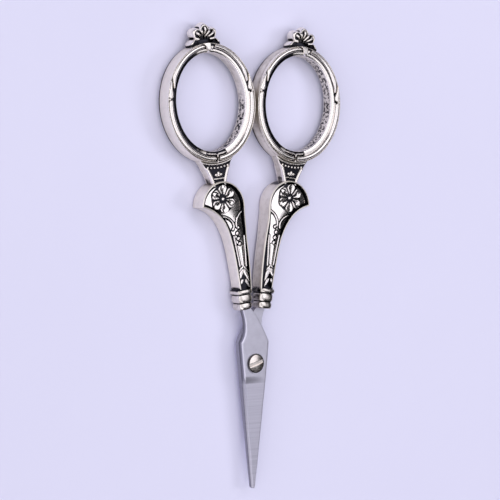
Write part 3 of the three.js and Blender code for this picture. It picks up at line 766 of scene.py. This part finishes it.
# %% Scrolls, dots, rails and leaves
SCROLLS = [
    bezier([[4.2, 42.3], [6.0, 41.9], [7.7, 39.6], [6.9, 37.75]], 24),
    bezier([[11.2, 40.5], [9.1, 40.3], [7.4, 38.6], [8.0, 37.2]], 24),
]
SCROLL_BALLS = [(6.3, 37.55, 0.44), (8.1, 37.1, 0.36)]
DOTS = [(6.67, 36.0, 0.56), (6.25, 34.55, 0.54), (5.85, 33.15, 0.5)]
RAILS = [np.array([[4.3, 35.3], [3.65, 27.0]]), np.array([[7.8, 35.1], [5.75, 27.0]])]
WIRES = [(path, 0.26) for path in SCROLLS] + [(path, 0.25) for path in RAILS]
WIRE_RISE = 0.34
FIELD = ((5.75, 32.9), (4.7, 26.9))
FIELD_HALF = 1.2
LEAF_RISE = 0.46
STEM_X = (4.2, 4.72)
STEM_Y = (21.0, 27.0)
SPRIGS = [(27.0, 0.12, 25.3, 1.6, 0.36), (26.2, 0.2, 22.5, 1.85, 0.6), (23.4, 0.45, 21.0, 1.75, 0.46)]


def line_height(x, y):
    """Scrolls, rails, balls and dots as round wires and beads, and the distance to the nearest one."""
    tops = []
    edges = []
    for path, half in WIRES:
        gap = distance_to(x, y, path)
        tops.append(WIRE_RISE * swell(gap, half))
        edges.append(gap - half)
    for cx, cy, radius in SCROLL_BALLS + DOTS:
        gap = np.hypot(x - cx, y - cy)
        tops.append(0.65 * radius * swell(gap, radius))
        edges.append(gap - radius)
    return np.max(tops, axis=0), np.min(edges, axis=0)


def leaf_height(x, y):
    """Pairs of leaves beside a stem at the foot, and the field that tapers to it between the rails."""
    tops = []
    for base_rise, base_aside, tip_rise, tip_aside, half in SPRIGS:
        base_x, tip_x = np.interp([base_rise, tip_rise], STEM_Y, STEM_X)
        for way in (-1.0, 1.0):
            base = (base_x + way * base_aside, base_rise)
            tip = (tip_x + way * tip_aside, tip_rise)
            tops.append(LEAF_RISE * leaf(x, y, base, tip, half))
    along, across = along_across(x, y, *FIELD)
    width = FIELD_HALF * (1.0 - 0.6 * np.clip(along, 0.0, 1.0)) * blunt(1.0 - along, 0.1)
    tops.append(WIRE_RISE * swell(across, width) * smooth(0.0, 0.06, along) * (along < 1.0))
    return np.max(tops, axis=0)


print(len(WIRES), "wires,", len(SCROLL_BALLS + DOTS), "beads and", 2 * len(SPRIGS), "leaves a panel")

# %% [markdown]
# Now the panel itself. Between the rim and the ornament it swells like a shallow cushion, because a
# flat one would mirror a single tone. Patina settles in a narrow band along the rim, in the gutters
# beside the rails, between the leaves and in the heart of the blossom; the rest of the panel is
# bright.

# %% The body's skin
BODY_COLUMNS = 108
BODY_WALL = 9
RIM_WIDTH = 0.5
RIM_HALF = 0.27
RIM_RISE = 0.36
RIM_SINK = 0.4
PANEL_DEPTH = 0.95
PANEL_RISE = 0.15
CUSHION = 0.17
CUSHION_HALF = 3.5
TALLEST = CREST - 0.02


def body_relief(x, y, half):
    """Height of the front above the middle plane, where patina stays on it, and the worn rim."""
    gap = distance_to(x, y, outline)
    middle = (left_x + right_edge[:, 0])[:, None] / 2.0
    cushion = CUSHION * np.minimum(half, CUSHION_HALF) * (1.0 - ((x - middle) / half) ** 2)
    slender = smooth(40.0, 33.0, y)
    panel = BODY_HALF - PANEL_DEPTH + PANEL_RISE * slender
    panel = panel + cushion * smooth(RIM_WIDTH, 2.0 * RIM_WIDTH, gap)
    flower, from_heart = blossom_height(x, y)
    lines, beside_line = line_height(x, y)
    field = leaf_height(x, y) * smooth(0.12, 0.26, beside_line)
    motifs = np.max([flower, lines, field], axis=0)
    motifs = motifs * smooth(RIM_WIDTH - 0.1, RIM_WIDTH + 0.2, gap)
    rim = BODY_HALF - RIM_SINK * slender - RIM_RISE * (1.0 - swell(gap - RIM_HALF, RIM_HALF))
    height = np.where(gap < RIM_WIDTH, np.maximum(rim, panel), panel + motifs)
    ground = smooth(0.16, 0.06, motifs)
    beside = smooth(RIM_WIDTH + 0.8, RIM_WIDTH + 0.5, gap)
    gutter = smooth(26.2, 26.8, y) * smooth(33.5, 32.7, y)
    foliage = smooth(27.2, 26.4, y)
    petals = smooth(3.95, 3.7, from_heart)
    moats = smooth(0.34, 0.22, beside_line)
    stain = np.max([beside, gutter, foliage, petals, moats], axis=0)
    patina = np.maximum(stain * ground, crease(height, 5, 0.02, 0.06))
    patina = patina * smooth(RIM_WIDTH - 0.22, RIM_WIDTH, gap)
    return np.minimum(height, TALLEST), patina, smooth(RIM_WIDTH, RIM_WIDTH - 0.15, gap)


def body_skin():
    """Level sections from the foot to the dome, the same relief on both faces, upright walls."""
    rise, left, right = row_rise[:, None], left_x[:, None], right_edge[:, :1]
    half = (right - left) / 2.0
    x = left + 2.0 * half * np.linspace(0.0, 1.0, BODY_COLUMNS)[None]
    front, dark, worn = body_relief(x, np.broadcast_to(rise, x.shape), half)
    wall = np.linspace(1.0, -1.0, BODY_WALL + 2)[None, 1:-1]
    across = around(x, right + 0.0 * wall, x, left + 0.0 * wall)
    sections = np.dstack([across, np.broadcast_to(rise, across.shape), heights(front, front, wall)])
    top = smooth(dome[1] + 5.2, dome[1] + 6.6, rise) + 0.0 * wall
    seat = smooth(foot[1] + 0.9, foot[1] + 0.3, rise) + 0.0 * wall
    ends = np.maximum(0.72 * top, 0.55 * seat)
    # The inner wall is darker than the outer one, more towards the foot and towards its front and back
    # edges.
    darker_near_foot = 0.22 + 0.1 * smooth(38.0, 28.0, rise)
    darker_side = np.maximum(ends, darker_near_foot + 0.12 * wall**2)
    patina = around(dark, np.maximum(ends, 0.06), dark, darker_side)
    plain = 1.0 - 0.6 * ends
    return skin(sections, patina=patina, cast=around(0.85 * worn, plain, 0.85 * worn, plain))


make_both("body", body_skin())

# %% [markdown]
# The neck flares from the body up to the ring. Two bright ribs frame a black hollow with a row of
# seven beads that follows the ring's curve, a small crown below them and a thin collar at the foot.
# Edge loops bridged from body to ring would give the flare but not the beads. So the neck is drawn
# along the line from the dome's centre to the ring's, with s along it and t across.

# %% The neck's relief
NECK_HOLLOW = 1.32
NECK_BEADS = 7
BEAD_PITCH = 1.12
BEAD_ROW = 1.25
BEAD_RADIUS = 0.33
BEAD_RISE = 0.46
FILLET_HALF = 0.26
FILLET_RISE = 0.3
FOOT_COLLAR_HALF = 0.24
FOOT_COLLAR_RISE = 0.36
RIB_HALF = 0.5
RIB_RISE = 0.55
CROWN_RISE = 0.5
CROWN = [(0.0, 9.3, 0.42, 0.6), (-0.8, 9.0, 0.5, 0.42), (0.8, 9.0, 0.5, 0.42), (0.0, 8.75, 1.1, 0.3)]
ring_edge = np.hypot(*(ring_middle - dome)) - RING_LENGTH / 2.0
edge_radius = RING_WIDTH**2 / RING_LENGTH / 2.0


def neck_height(s, t, half):
    """Front of the neck: beads and a fillet on arcs round the ring, a crown, a collar and side ribs."""
    level = s - (ring_edge + edge_radius)
    below = np.hypot(t, level) - edge_radius
    on_arc = np.arctan2(t, -level) * (edge_radius + BEAD_ROW)
    number = np.clip(np.round(on_arc / BEAD_PITCH), -(NECK_BEADS // 2), NECK_BEADS // 2)
    beads = BEAD_RISE * swell(np.hypot(on_arc - number * BEAD_PITCH, below - BEAD_ROW), BEAD_RADIUS)
    fillet = FILLET_RISE * swell(below - 0.3, FILLET_HALF)
    collar = FOOT_COLLAR_RISE * swell(s - DOME_RADIUS - 0.8, FOOT_COLLAR_HALF)
    field = [beads, fillet, collar]
    for at, up, wide, tall in CROWN:
        field.append(CROWN_RISE * swell(np.hypot((t - at) / wide, (s - up) / tall), 1.0))
    inset = half - np.abs(t)
    ribs = RIB_RISE * swell(inset - RIB_HALF, RIB_HALF) * smooth(1.2, 1.9, below)
    relief = np.maximum(np.max(field, axis=0) * smooth(0.05, 0.3, inset), ribs)
    return NECK_HOLLOW + relief - 0.1 * smooth(0.12, 0.0, inset), inset


print("ring's edge", ring_edge.round(2), "mm from the dome's centre")

# %% The neck's skin
NECK_FOOT_HALF = 2.2
NECK_BOW = 3.1
NECK_ROOT_HALF = 6.2
NECK_ROWS = 130
NECK_COLUMNS = 140
NECK_WALL = 7
neck_lean = math.atan2(*(ring_middle - dome))
neck_low = DOME_RADIUS - 1.2
neck_high = ring_edge + 1.6
neck_root = ring_edge + 2.2


def neck_skin():
    """Sections across the line; the half width is a quadratic curve from foot by bow to root."""
    s = np.linspace(neck_low, neck_high, NECK_ROWS)[:, None]
    rise = (s - neck_low) / (neck_root - neck_low)
    half = (1.0 - rise) ** 2 * NECK_FOOT_HALF + 2.0 * rise * (1.0 - rise) * NECK_BOW
    half = half + rise**2 * NECK_ROOT_HALF
    t = half * np.linspace(-1.0, 1.0, NECK_COLUMNS)[None]
    front, inset = neck_height(s + 0.0 * t, t, half)
    wall = np.linspace(1.0, -1.0, NECK_WALL + 2)[None, 1:-1]
    across = around(t, half + 0.0 * wall, t, -half + 0.0 * wall)
    sections = np.dstack([leaning(dome, neck_lean, s, across), heights(front, front, wall)])
    dark = groove_patina(front, NECK_HOLLOW + 0.06, NECK_HOLLOW + 0.26) * smooth(0.1, 0.3, inset)
    joint = 0.56 * smooth(DOME_RADIUS + 2.6, DOME_RADIUS + 0.4, s) + 0.0 * wall
    patina = around(dark, np.maximum(joint, 0.3), dark, np.maximum(joint, 0.46))
    plain = 1.0 - 0.7 * joint
    bright = 0.3 + 0.0 * dark
    return skin(sections, patina=patina, cast=around(bright, plain, bright, plain))


make_both("neck", neck_skin())

# %% [markdown]
# The ferrule is the collar the blade's tang goes into: a stout bead, a barrel and a second bead,
# stacked on the handle's leaning axis. The Screw modifier would turn it round, and the real one is
# nearly square. So each section is a superellipse, |x/a|^m + |z/b|^n = 1, with a crowned front and
# flat sides; its inset follows half an ellipse per band, and black stays in the grooves.

# %% The ferrule
FERRULE_WIDTH = 5.3
FERRULE_POWERS = (2.6, 5.0)
FERRULE_OFFSET = 0.4
FERRULE_TOP = 0.45
FERRULE_BANDS = ((1.95, 0.4, 0.42), (2.3, 0.28, 0.34), (1.45, 0.0, 0.5))
BAND_ROWS = 18
FERRULE_COLUMNS = 128
collet = foot + [FERRULE_OFFSET, 0.0]
ferrule_length = sum(band[0] for band in FERRULE_BANDS)


def ferrule_stations():
    """Distance along the axis and inset: base + bulge (1 - cos a) as a goes over each band."""
    turn = np.linspace(-math.pi / 2.0, math.pi / 2.0, BAND_ROWS)
    height, base, bulge = np.transpose(FERRULE_BANDS)[:, :, None]
    start = np.cumsum(height, axis=0) - height - ferrule_length
    along = start + height * (0.5 + 0.49 * np.sin(turn))
    inset = base + bulge * (1.0 - np.cos(turn))
    return np.append(along, FERRULE_TOP)[:, None], np.append(inset, bulge[-1])[:, None]


def rounded(wave, power):
    """One coordinate of a superellipse: the cosine or sine to 2 / power, with its sign."""
    return np.sign(wave) * np.abs(wave) ** (2.0 / power)


def ferrule_skin():
    """Superellipses stacked along the handle's axis."""
    along, inset = ferrule_stations()
    turn = np.linspace(0.0, 2.0 * math.pi, FERRULE_COLUMNS + 1)[None, :-1]
    aside = (FERRULE_WIDTH / 2.0 - inset) * rounded(np.cos(turn), FERRULE_POWERS[0])
    height = (CREST - inset) * rounded(np.sin(turn), FERRULE_POWERS[1])
    sections = np.dstack([leaning(collet, HANDLE_LEAN, along, aside), height])
    edges = np.cumsum([band[0] for band in FERRULE_BANDS]) - ferrule_length
    near = np.abs(np.minimum(along, 0.0) - edges[None]).min(axis=1, keepdims=True)
    flank = smooth(0.7, 0.95, np.abs(aside) / (FERRULE_WIDTH / 2.0))
    # Painted shade: the flank that faces the other ferrule is darker than the outer one.
    darker_side = np.where(aside < 0.0, 0.62, 0.36)
    ragged = flank * np.maximum(0.8 * smooth(0.6, 0.1, near), darker_side)
    patina = np.maximum(np.maximum(smooth(0.26, 0.06, near), ragged), 0.36)
    return skin(sections, patina=patina, cast=0.3 + 0.3 * flank)


make_both("ferrule", ferrule_skin())

# %% [markdown]
# The blades are stainless steel, ground flat and left satin. Fine lines from the grinding belt run
# across them below the pad under the screw. An anisotropic shine would smear the light as they do,
# but the lines themselves can be seen. So they are hairlines in the material: a coarse set that shows
# as faint bars and a fine set that breaks up the shine. The screw is nickel, with painted shade at
# its edge.

# %% Blade and screw steel
PAD_TONES = ((0.73, 0.715, 0.81, 1.0), (0.80, 0.785, 0.885, 1.0))
GROUND_TONES = ((0.61, 0.595, 0.69, 1.0), (0.76, 0.745, 0.845, 1.0))
EDGE_TONE = (0.15, 0.145, 0.16, 1.0)
NICKEL_TONES = ((0.74, 0.67, 0.61, 1.0), (0.86, 0.80, 0.74, 1.0))
# This dark tone is painted shade for the screw: the head's edge and the shank next to the blades.
SCREW_SHADE = (0.05, 0.045, 0.045, 1.0)


def blade_steel():
    """Cloudy on the pad, barred where the cast value says the face is ground, dark on the walls."""
    material, tree, shader = new_material("satin blade steel")
    ground = attribute(tree, "cast")
    clouds = use_group(tree, CLOUDY, 500.0)
    bars = use_group(tree, HAIRLINES, 18.0, 1500.0, 18.0)
    lines = use_group(tree, HAIRLINES, 70.0, 9000.0, 70.0)
    bars = blend_value(tree, ground, 0.5, bars)
    pad = blend_colour(tree, clouds, *PAD_TONES)
    tone = blend_colour(tree, ground, pad, blend_colour(tree, bars, *GROUND_TONES))
    tone = blend_colour(tree, attribute(tree, "patina"), tone, EDGE_TONE)
    height = sums(tree, "ADD", sums(tree, "MULTIPLY", lines, 0.4), bars)
    finish_metal(tree, shader, tone, blend_value(tree, lines, 0.38, 0.5), height, 0.000004, 0.5)
    return material


def screw_steel():
    """Warm cloudy nickel with fine hairlines, blackened where the value is high, as painted shade."""
    material, tree, shader = new_material("nickel screw steel")
    clouds = use_group(tree, CLOUDY, 900.0)
    lines = use_group(tree, HAIRLINES, 300.0, 7000.0, 300.0)
    tone = blend_colour(tree, clouds, *NICKEL_TONES)
    tone = blend_colour(tree, cut(tree, attribute(tree, "patina"), 0.3, 0.8), tone, SCREW_SHADE)
    finish_metal(tree, shader, tone, blend_value(tree, lines, 0.2, 0.34), lines, 0.000003, 0.4)
    return material


BLADE_STEEL = blade_steel()
SCREW_STEEL = screw_steel()
print("materials:", BLADE_STEEL.name, "and", SCREW_STEEL.name)

# %% [markdown]
# A blade is thin, so its sections run straight across at each height: the flat inner face, the
# square spine, the ground outer face and the bevel at the cutting edge. A plate with a Bevel modifier
# would be equally thick all over. Here the outer face below the pad falls away from the spine to the
# edge and from the pad to the tip; a short S curve joins the two.

# %% The blade's outline
BLADE_REACH = 34.8
HEEL_HALF = 4.65
HEEL_RISE = 5.8
TIP_HALF = 0.5
SHANK_HALF = 1.4
SHANK_OFFSET = 0.4
mouth = leaning(collet, HANDLE_LEAN, -ferrule_length)
spine_end = leaning(mouth, HANDLE_LEAN, 0.0, -SHANK_OFFSET - SHANK_HALF)
edge_end = leaning(mouth, HANDLE_LEAN, 0.0, -SHANK_OFFSET + SHANK_HALF)
spine_leans = np.radians([26.5, 50.0])
edge_leans = np.radians([-40.0, 20.0])
heel_spine, heel_edge = (-HEEL_HALF, HEEL_RISE), (HEEL_HALF, HEEL_RISE)
spine_curve = flowing(heel_spine, spine_leans[0], 3.9, spine_end, spine_leans[1], 2.65)
edge_curve = flowing(heel_edge, edge_leans[0], 3.1, edge_end, edge_leans[1], 3.9)


def blade_sides(y):
    """Where the spine and the edge are at each height: round tip, straight taper, curved shank."""
    up = y + BLADE_REACH - TIP_HALF
    taper = TIP_HALF + (HEEL_HALF - TIP_HALF) * up / (HEEL_RISE + BLADE_REACH - TIP_HALF)
    half = np.where(up < 0.0, np.sqrt(np.clip(TIP_HALF**2 - up**2, 0.0, None)), taper)
    straight = y <= HEEL_RISE
    spine = np.where(straight, -half, np.interp(y, spine_curve[:, 1], spine_curve[:, 0]))
    edge = np.where(straight, half, np.interp(y, edge_curve[:, 1], edge_curve[:, 0]))
    return spine, edge


print("shank meets the ferrule at", mouth.round(2))

# %% The blade's skin
BLADE_THICK = 1.4
BLADE_GAP = 0.1
TIP_THICK = 0.6
PAD_DROP = 3.9
EDGE_THICK = 0.95
BEVEL_WIDTH = 0.5
EDGE_LAND = 0.15
TANG = 1.2
BLADE_ROWS = 260
SHANK_ROWS = 60
FACE_COLUMNS = 20


def blade_skin():
    """Sections across the blade, each a chain of points round the face, the bevel and the inside."""
    low = crowded(-BLADE_REACH + 0.01, HEEL_RISE, BLADE_ROWS, [-BLADE_REACH, -PAD_DROP], 1.2, 4.0)
    y = np.concatenate([low, np.linspace(HEEL_RISE, mouth[1] + TANG, SHANK_ROWS)[1:]])[:, None]
    spine, edge = blade_sides(y)
    below = smooth(-PAD_DROP + 0.5, -PAD_DROP - 1.9, y)
    pad_half = blade_sides(np.array([-PAD_DROP]))[1][0]
    across = (BLADE_THICK - EDGE_THICK) / (2.0 * pad_half)
    along = ((BLADE_THICK + EDGE_THICK) / 2.0 - TIP_THICK) / (BLADE_REACH - PAD_DROP)
    bevel = np.minimum(BEVEL_WIDTH, 0.45 * (edge - spine)) * below
    wide = np.minimum(1.0, (edge - bevel - spine) / 2.5)
    left = spine + wide * np.array([[0.0, 0.04, 0.12]])
    right = edge - bevel - wide * np.array([[0.3, 0.22, 0.15, 0.08, 0.0]])
    share = np.linspace(0.0, 1.0, FACE_COLUMNS + 2)[None, 1:-1]
    between = left[:, -1:] + (right[:, :1] - left[:, -1:]) * share
    face_x = np.concatenate([left, between, right], axis=1)
    fallen = across * (face_x + pad_half) + along * np.clip(-y - PAD_DROP, 0.0, None)
    corner = 0.03 * smooth(0.12, 0.0, (face_x - spine) / wide)
    corner = corner + 0.13 * smooth(0.3, 0.0, (edge - bevel - face_x) / wide) * (1.0 - below)
    face_z = -BLADE_GAP / 2.0 - (BLADE_THICK - fallen * below) + corner
    land = BLADE_THICK + (EDGE_LAND - BLADE_THICK) * below
    edge_z = -BLADE_GAP / 2.0 - np.minimum(land, -face_z[:, -1:] - BLADE_GAP / 2.0 - 0.02)
    inner = np.full((len(y), 4), -BLADE_GAP / 2.0)
    xs = np.concatenate([face_x, edge, edge, edge - 0.04, spine + 0.04, spine], axis=1)
    zs = np.concatenate([face_z, edge_z, inner], axis=1)
    walls = np.zeros(xs.shape)
    walls[:, [0, -1]] = 0.6
    walls[:, [-6, -5, -4]] = [0.3, 0.6, 1.0]
    sections = np.dstack([xs, np.broadcast_to(y, xs.shape), zs])
    return skin(sections, cast=below + 0.0 * xs, patina=walls)


blade = blade_skin()
for side, node in (("right", "rear_blade"), ("left", "front_blade")):
    made = make_piece(f"ground_{node}", blade, BLADE_STEEL, side, node, 25.0)
print("blades have", len(made.data.polygons), "faces each")

# %% [markdown]
# The pivot screw has a low domed head with a slot, a shank in the blades and a short tail behind. A
# Boolean could cut the slot, but it leaves long thin faces that shade badly. Sections that run along
# the slot keep its walls crisp: rows stand close together at the slot's two edges, and each row spans
# its chord of the round head.

# %% The screw's head
HEAD_RADIUS = 2.65
HEAD_EDGE = 0.4
HEAD_HEIGHT = 0.85
HEAD_FLAT = 0.86
DOME_DROP = 0.36
SLOT_HALF = 0.45
SLOT_DEPTH = 0.45
SLOT_TURN = math.radians(15.0)
SLOT_LIP = 0.03
HEAD_ROWS = 26
HEAD_COLUMNS = 60
seat = BLADE_GAP / 2.0 + BLADE_THICK + 0.05


def head_skin():
    """A low dome, h - 0.36 (r/R)^2, on chords at p from the slot, less its round edge and slot."""
    side = np.linspace(SLOT_HALF + 0.05, HEAD_RADIUS - HAIR, HEAD_ROWS)
    side = np.concatenate([SLOT_HALF + np.array([-0.02, 0.0, 0.02]), side])
    p = np.concatenate([-side[::-1], side])[:, None]
    share = np.sin(np.linspace(-math.pi / 2.0, math.pi / 2.0, HEAD_COLUMNS))[None]
    q = np.sqrt(HEAD_RADIUS**2 - p**2) * share
    radius = np.hypot(p, q) / HEAD_RADIUS
    fall = np.clip((radius - HEAD_FLAT) / (1.0 - HEAD_FLAT), 0.0, 1.0)
    edge_drop = HEAD_HEIGHT - HEAD_EDGE - DOME_DROP
    crown = HEAD_HEIGHT - DOME_DROP * radius**2 - edge_drop * (1.0 - np.sqrt(1.0 - fall**2))
    lip = SLOT_LIP * np.exp(-(((np.abs(p) - SLOT_HALF) / 0.04) ** 2))
    in_slot = np.abs(p) < SLOT_HALF - 0.01
    top = np.where(in_slot, np.minimum(crown, HEAD_HEIGHT - SLOT_DEPTH), crown - lip)
    bottom = np.zeros_like(q[:, ::6])
    along = np.concatenate([q, q[:, ::-6]], axis=1)
    flat = leaning((0.0, 0.0), -SLOT_TURN, p, along)
    level = np.concatenate([top, bottom], axis=1) + seat
    # This paints shade on the head's rounded edge and on its underside.
    edge_shade = np.concatenate([smooth(0.85, 0.93, radius), 1.0 + bottom], axis=1)
    return skin(np.dstack([flat, level]), patina=edge_shade)


print("screw head sits", seat, "mm above the middle plane")

# %% The screw's shank
SHANK_RADIUS = 1.5
TAIL_LENGTH = 0.35
SHANK_COLUMNS = 72


def shank_skin():
    """A turned profile: the radius at each height, carried round a circle."""
    behind = -BLADE_GAP / 2.0 - BLADE_THICK
    profile = np.array([
        [seat + 0.1, SHANK_RADIUS],
        [behind, SHANK_RADIUS],
        [behind - 0.6 * TAIL_LENGTH, SHANK_RADIUS - 0.05],
        [behind - 0.9 * TAIL_LENGTH, SHANK_RADIUS - 0.16],
        [behind - TAIL_LENGTH, SHANK_RADIUS - 0.35],
        [behind - TAIL_LENGTH, 0.4],
    ])
    turn = np.linspace(0.0, 2.0 * math.pi, SHANK_COLUMNS + 1)[None, :-1]
    radius = profile[:, 1:]
    height = profile[:, :1] + 0.0 * turn
    sections = np.dstack([radius * np.cos(turn), radius * np.sin(turn), height])
    # Painted shade: the shank is black where it sits in the blades and fades out down the tail.
    return skin(sections, patina=smooth(behind - 0.12, behind + 0.02, height))


for name, shell in (("screw_head", head_skin()), ("screw_shank", shank_skin())):
    made = make_piece(name, shell, SCREW_STEEL, "right", "pivot_screw", 30.0)
    print(name, "has", len(made.data.polygons), "faces")

# %% [markdown]
# The studio begins with a plain pale floor. It could curve up behind the object, but the camera looks
# down and sees only what lies flat. It is very slightly cloudy, as painted board is, and nearly matt,
# so the soft shadow is all that shows on it.

# %% Floor
FLOOR_SIZE = 6.0
FLOOR_TONES = ((0.745, 0.735, 0.88, 1.0), (0.765, 0.755, 0.90, 1.0))


def pale_floor():
    """A matt paint between two close tones."""
    material, tree, shader = new_material("pale floor")
    tone = blend_colour(tree, use_group(tree, CLOUDY, 6.0), *FLOOR_TONES)
    tree.links.new(tone, shader.inputs["Base Color"])
    shader.inputs["Roughness"].default_value = 0.6
    shader.inputs["Specular IOR Level"].default_value = 0.2
    return material


corners = FLOOR_SIZE / 2.0 * np.array([[-1, -1, 0], [1, -1, 0], [1, 1, 0], [-1, 1, 0]])
floor_mesh = bpy.data.meshes.new("floor")
floor_mesh.from_pydata(corners.tolist(), [], [[0, 1, 2, 3]])
floor_mesh.materials.append(pale_floor())
floor = bpy.data.objects.new("floor", floor_mesh)
bpy.context.scene.collection.objects.link(floor)
print("floor of", FLOOR_SIZE, "m")

# %% [markdown]
# Polished silver shows its surroundings. A panorama of a real room could light it, but lamps can be
# placed one by one, so each is chosen for what it looks like in the metal. The softbox on the left
# lights the side walls, and the dim one overhead gives the blades their grey. The bright strip draws
# the white half of each panel, and the dark room past it the black half, with a faint narrow lamp to
# soften the step. Two wings light the ends. The last lamp throws the soft shadow and isn't mirrored.


# %% Lamps and room
def facing(away, distance, aim=Vector()):
    """A place at a distance from aim in the direction away, looking back, with its top towards +Y."""
    right = Vector((0.0, 1.0, 0.0)).cross(away).normalized()
    turned = Matrix((right, away.cross(right), away)).transposed()
    return Matrix.Translation(aim + away * distance) @ turned.to_4x4()


def overhead(tilt):
    """The direction of a lamp over the object, tilted by degrees towards +X."""
    return Vector((math.sin(math.radians(tilt)), 0.0, math.cos(math.radians(tilt))))


def softbox(name, away, distance, size, power, mirrored=True):
    """A rectangular lamp in the direction away, facing the object; metal may mirror it or not."""
    lamp = bpy.data.lights.new(name, "AREA")
    lamp.shape = "RECTANGLE"
    lamp.size, lamp.size_y = size
    lamp.energy = power
    lamp.color = LAMP_TINT
    holder = bpy.data.objects.new(name, lamp)
    holder.matrix_world = facing(away.normalized(), distance)
    holder.visible_glossy = mirrored
    bpy.context.scene.collection.objects.link(holder)


LAMP_TINT = (0.96, 0.95, 1.04)
ROOM_TINT = (0.80, 0.80, 0.92, 1.0)
ROOM_STRENGTH = 0.02
softbox("left softbox", overhead(-57.5), 1.1, (0.96, 2.6), 10.2)
softbox("dim middle", overhead(-18.0), 1.0, (0.57, 2.6), 3.5)
softbox("bright strip", Vector((0.3, 0.26, 0.92)), 0.9, (0.66, 1.0), 2.9)
softbox("soft edge", overhead(40.0), 1.0, (0.05, 1.0), 0.1)
softbox("ring side wing", Vector((0.2, 0.72, 0.64)), 1.0, (0.9, 0.5), 1.4)
softbox("blade side wing", Vector((-0.1, -0.65, 0.7)), 1.0, (0.6, 0.55), 1.2)
softbox("shadow lamp", overhead(52.0), 1.0, (0.35, 0.35), 2.8, mirrored=False)

world = bpy.data.worlds.new("dim room")
world.use_nodes = True
bpy.context.scene.world = world
world.node_tree.nodes["Background"].inputs["Color"].default_value = ROOM_TINT
world.node_tree.nodes["Background"].inputs["Strength"].default_value = ROOM_STRENGTH
bpy.context.scene.view_settings.view_transform = "Standard"

# %% [markdown]
# The camera stands to the left of the front face, a little towards the rings, with a long lens. A
# short lens from nearby would show one ring larger than the other. The angles, distance and small
# shift put the picture's frame where a photographer would have it.

# %% Camera
CAMERA_SIDE = math.radians(37.0)
CAMERA_RISE = math.radians(2.89)
CAMERA_DISTANCE = 0.556
CAMERA_AIM_RISE = 0.0291986
CAMERA_LENS = 145.3
CAMERA_SHIFT = (-0.0042, 0.0144)
camera_aim = Vector((0.0, pivot[1] + CAMERA_AIM_RISE, pivot[2]))
camera_data = bpy.data.cameras.new("camera")
camera_data.lens = CAMERA_LENS
camera_data.sensor_width = 36.0
camera_data.shift_x, camera_data.shift_y = CAMERA_SHIFT
camera_data.clip_start = 0.01
back = Vector((
    -math.sin(CAMERA_SIDE) * math.cos(CAMERA_RISE),
    math.sin(CAMERA_RISE),
    math.cos(CAMERA_SIDE) * math.cos(CAMERA_RISE),
))
camera = bpy.data.objects.new("camera", camera_data)
camera.matrix_world = facing(back, CAMERA_DISTANCE, camera_aim)
bpy.context.scene.collection.objects.link(camera)
bpy.context.scene.camera = camera
print("camera at", tuple(round(c, 3) for c in camera.location))
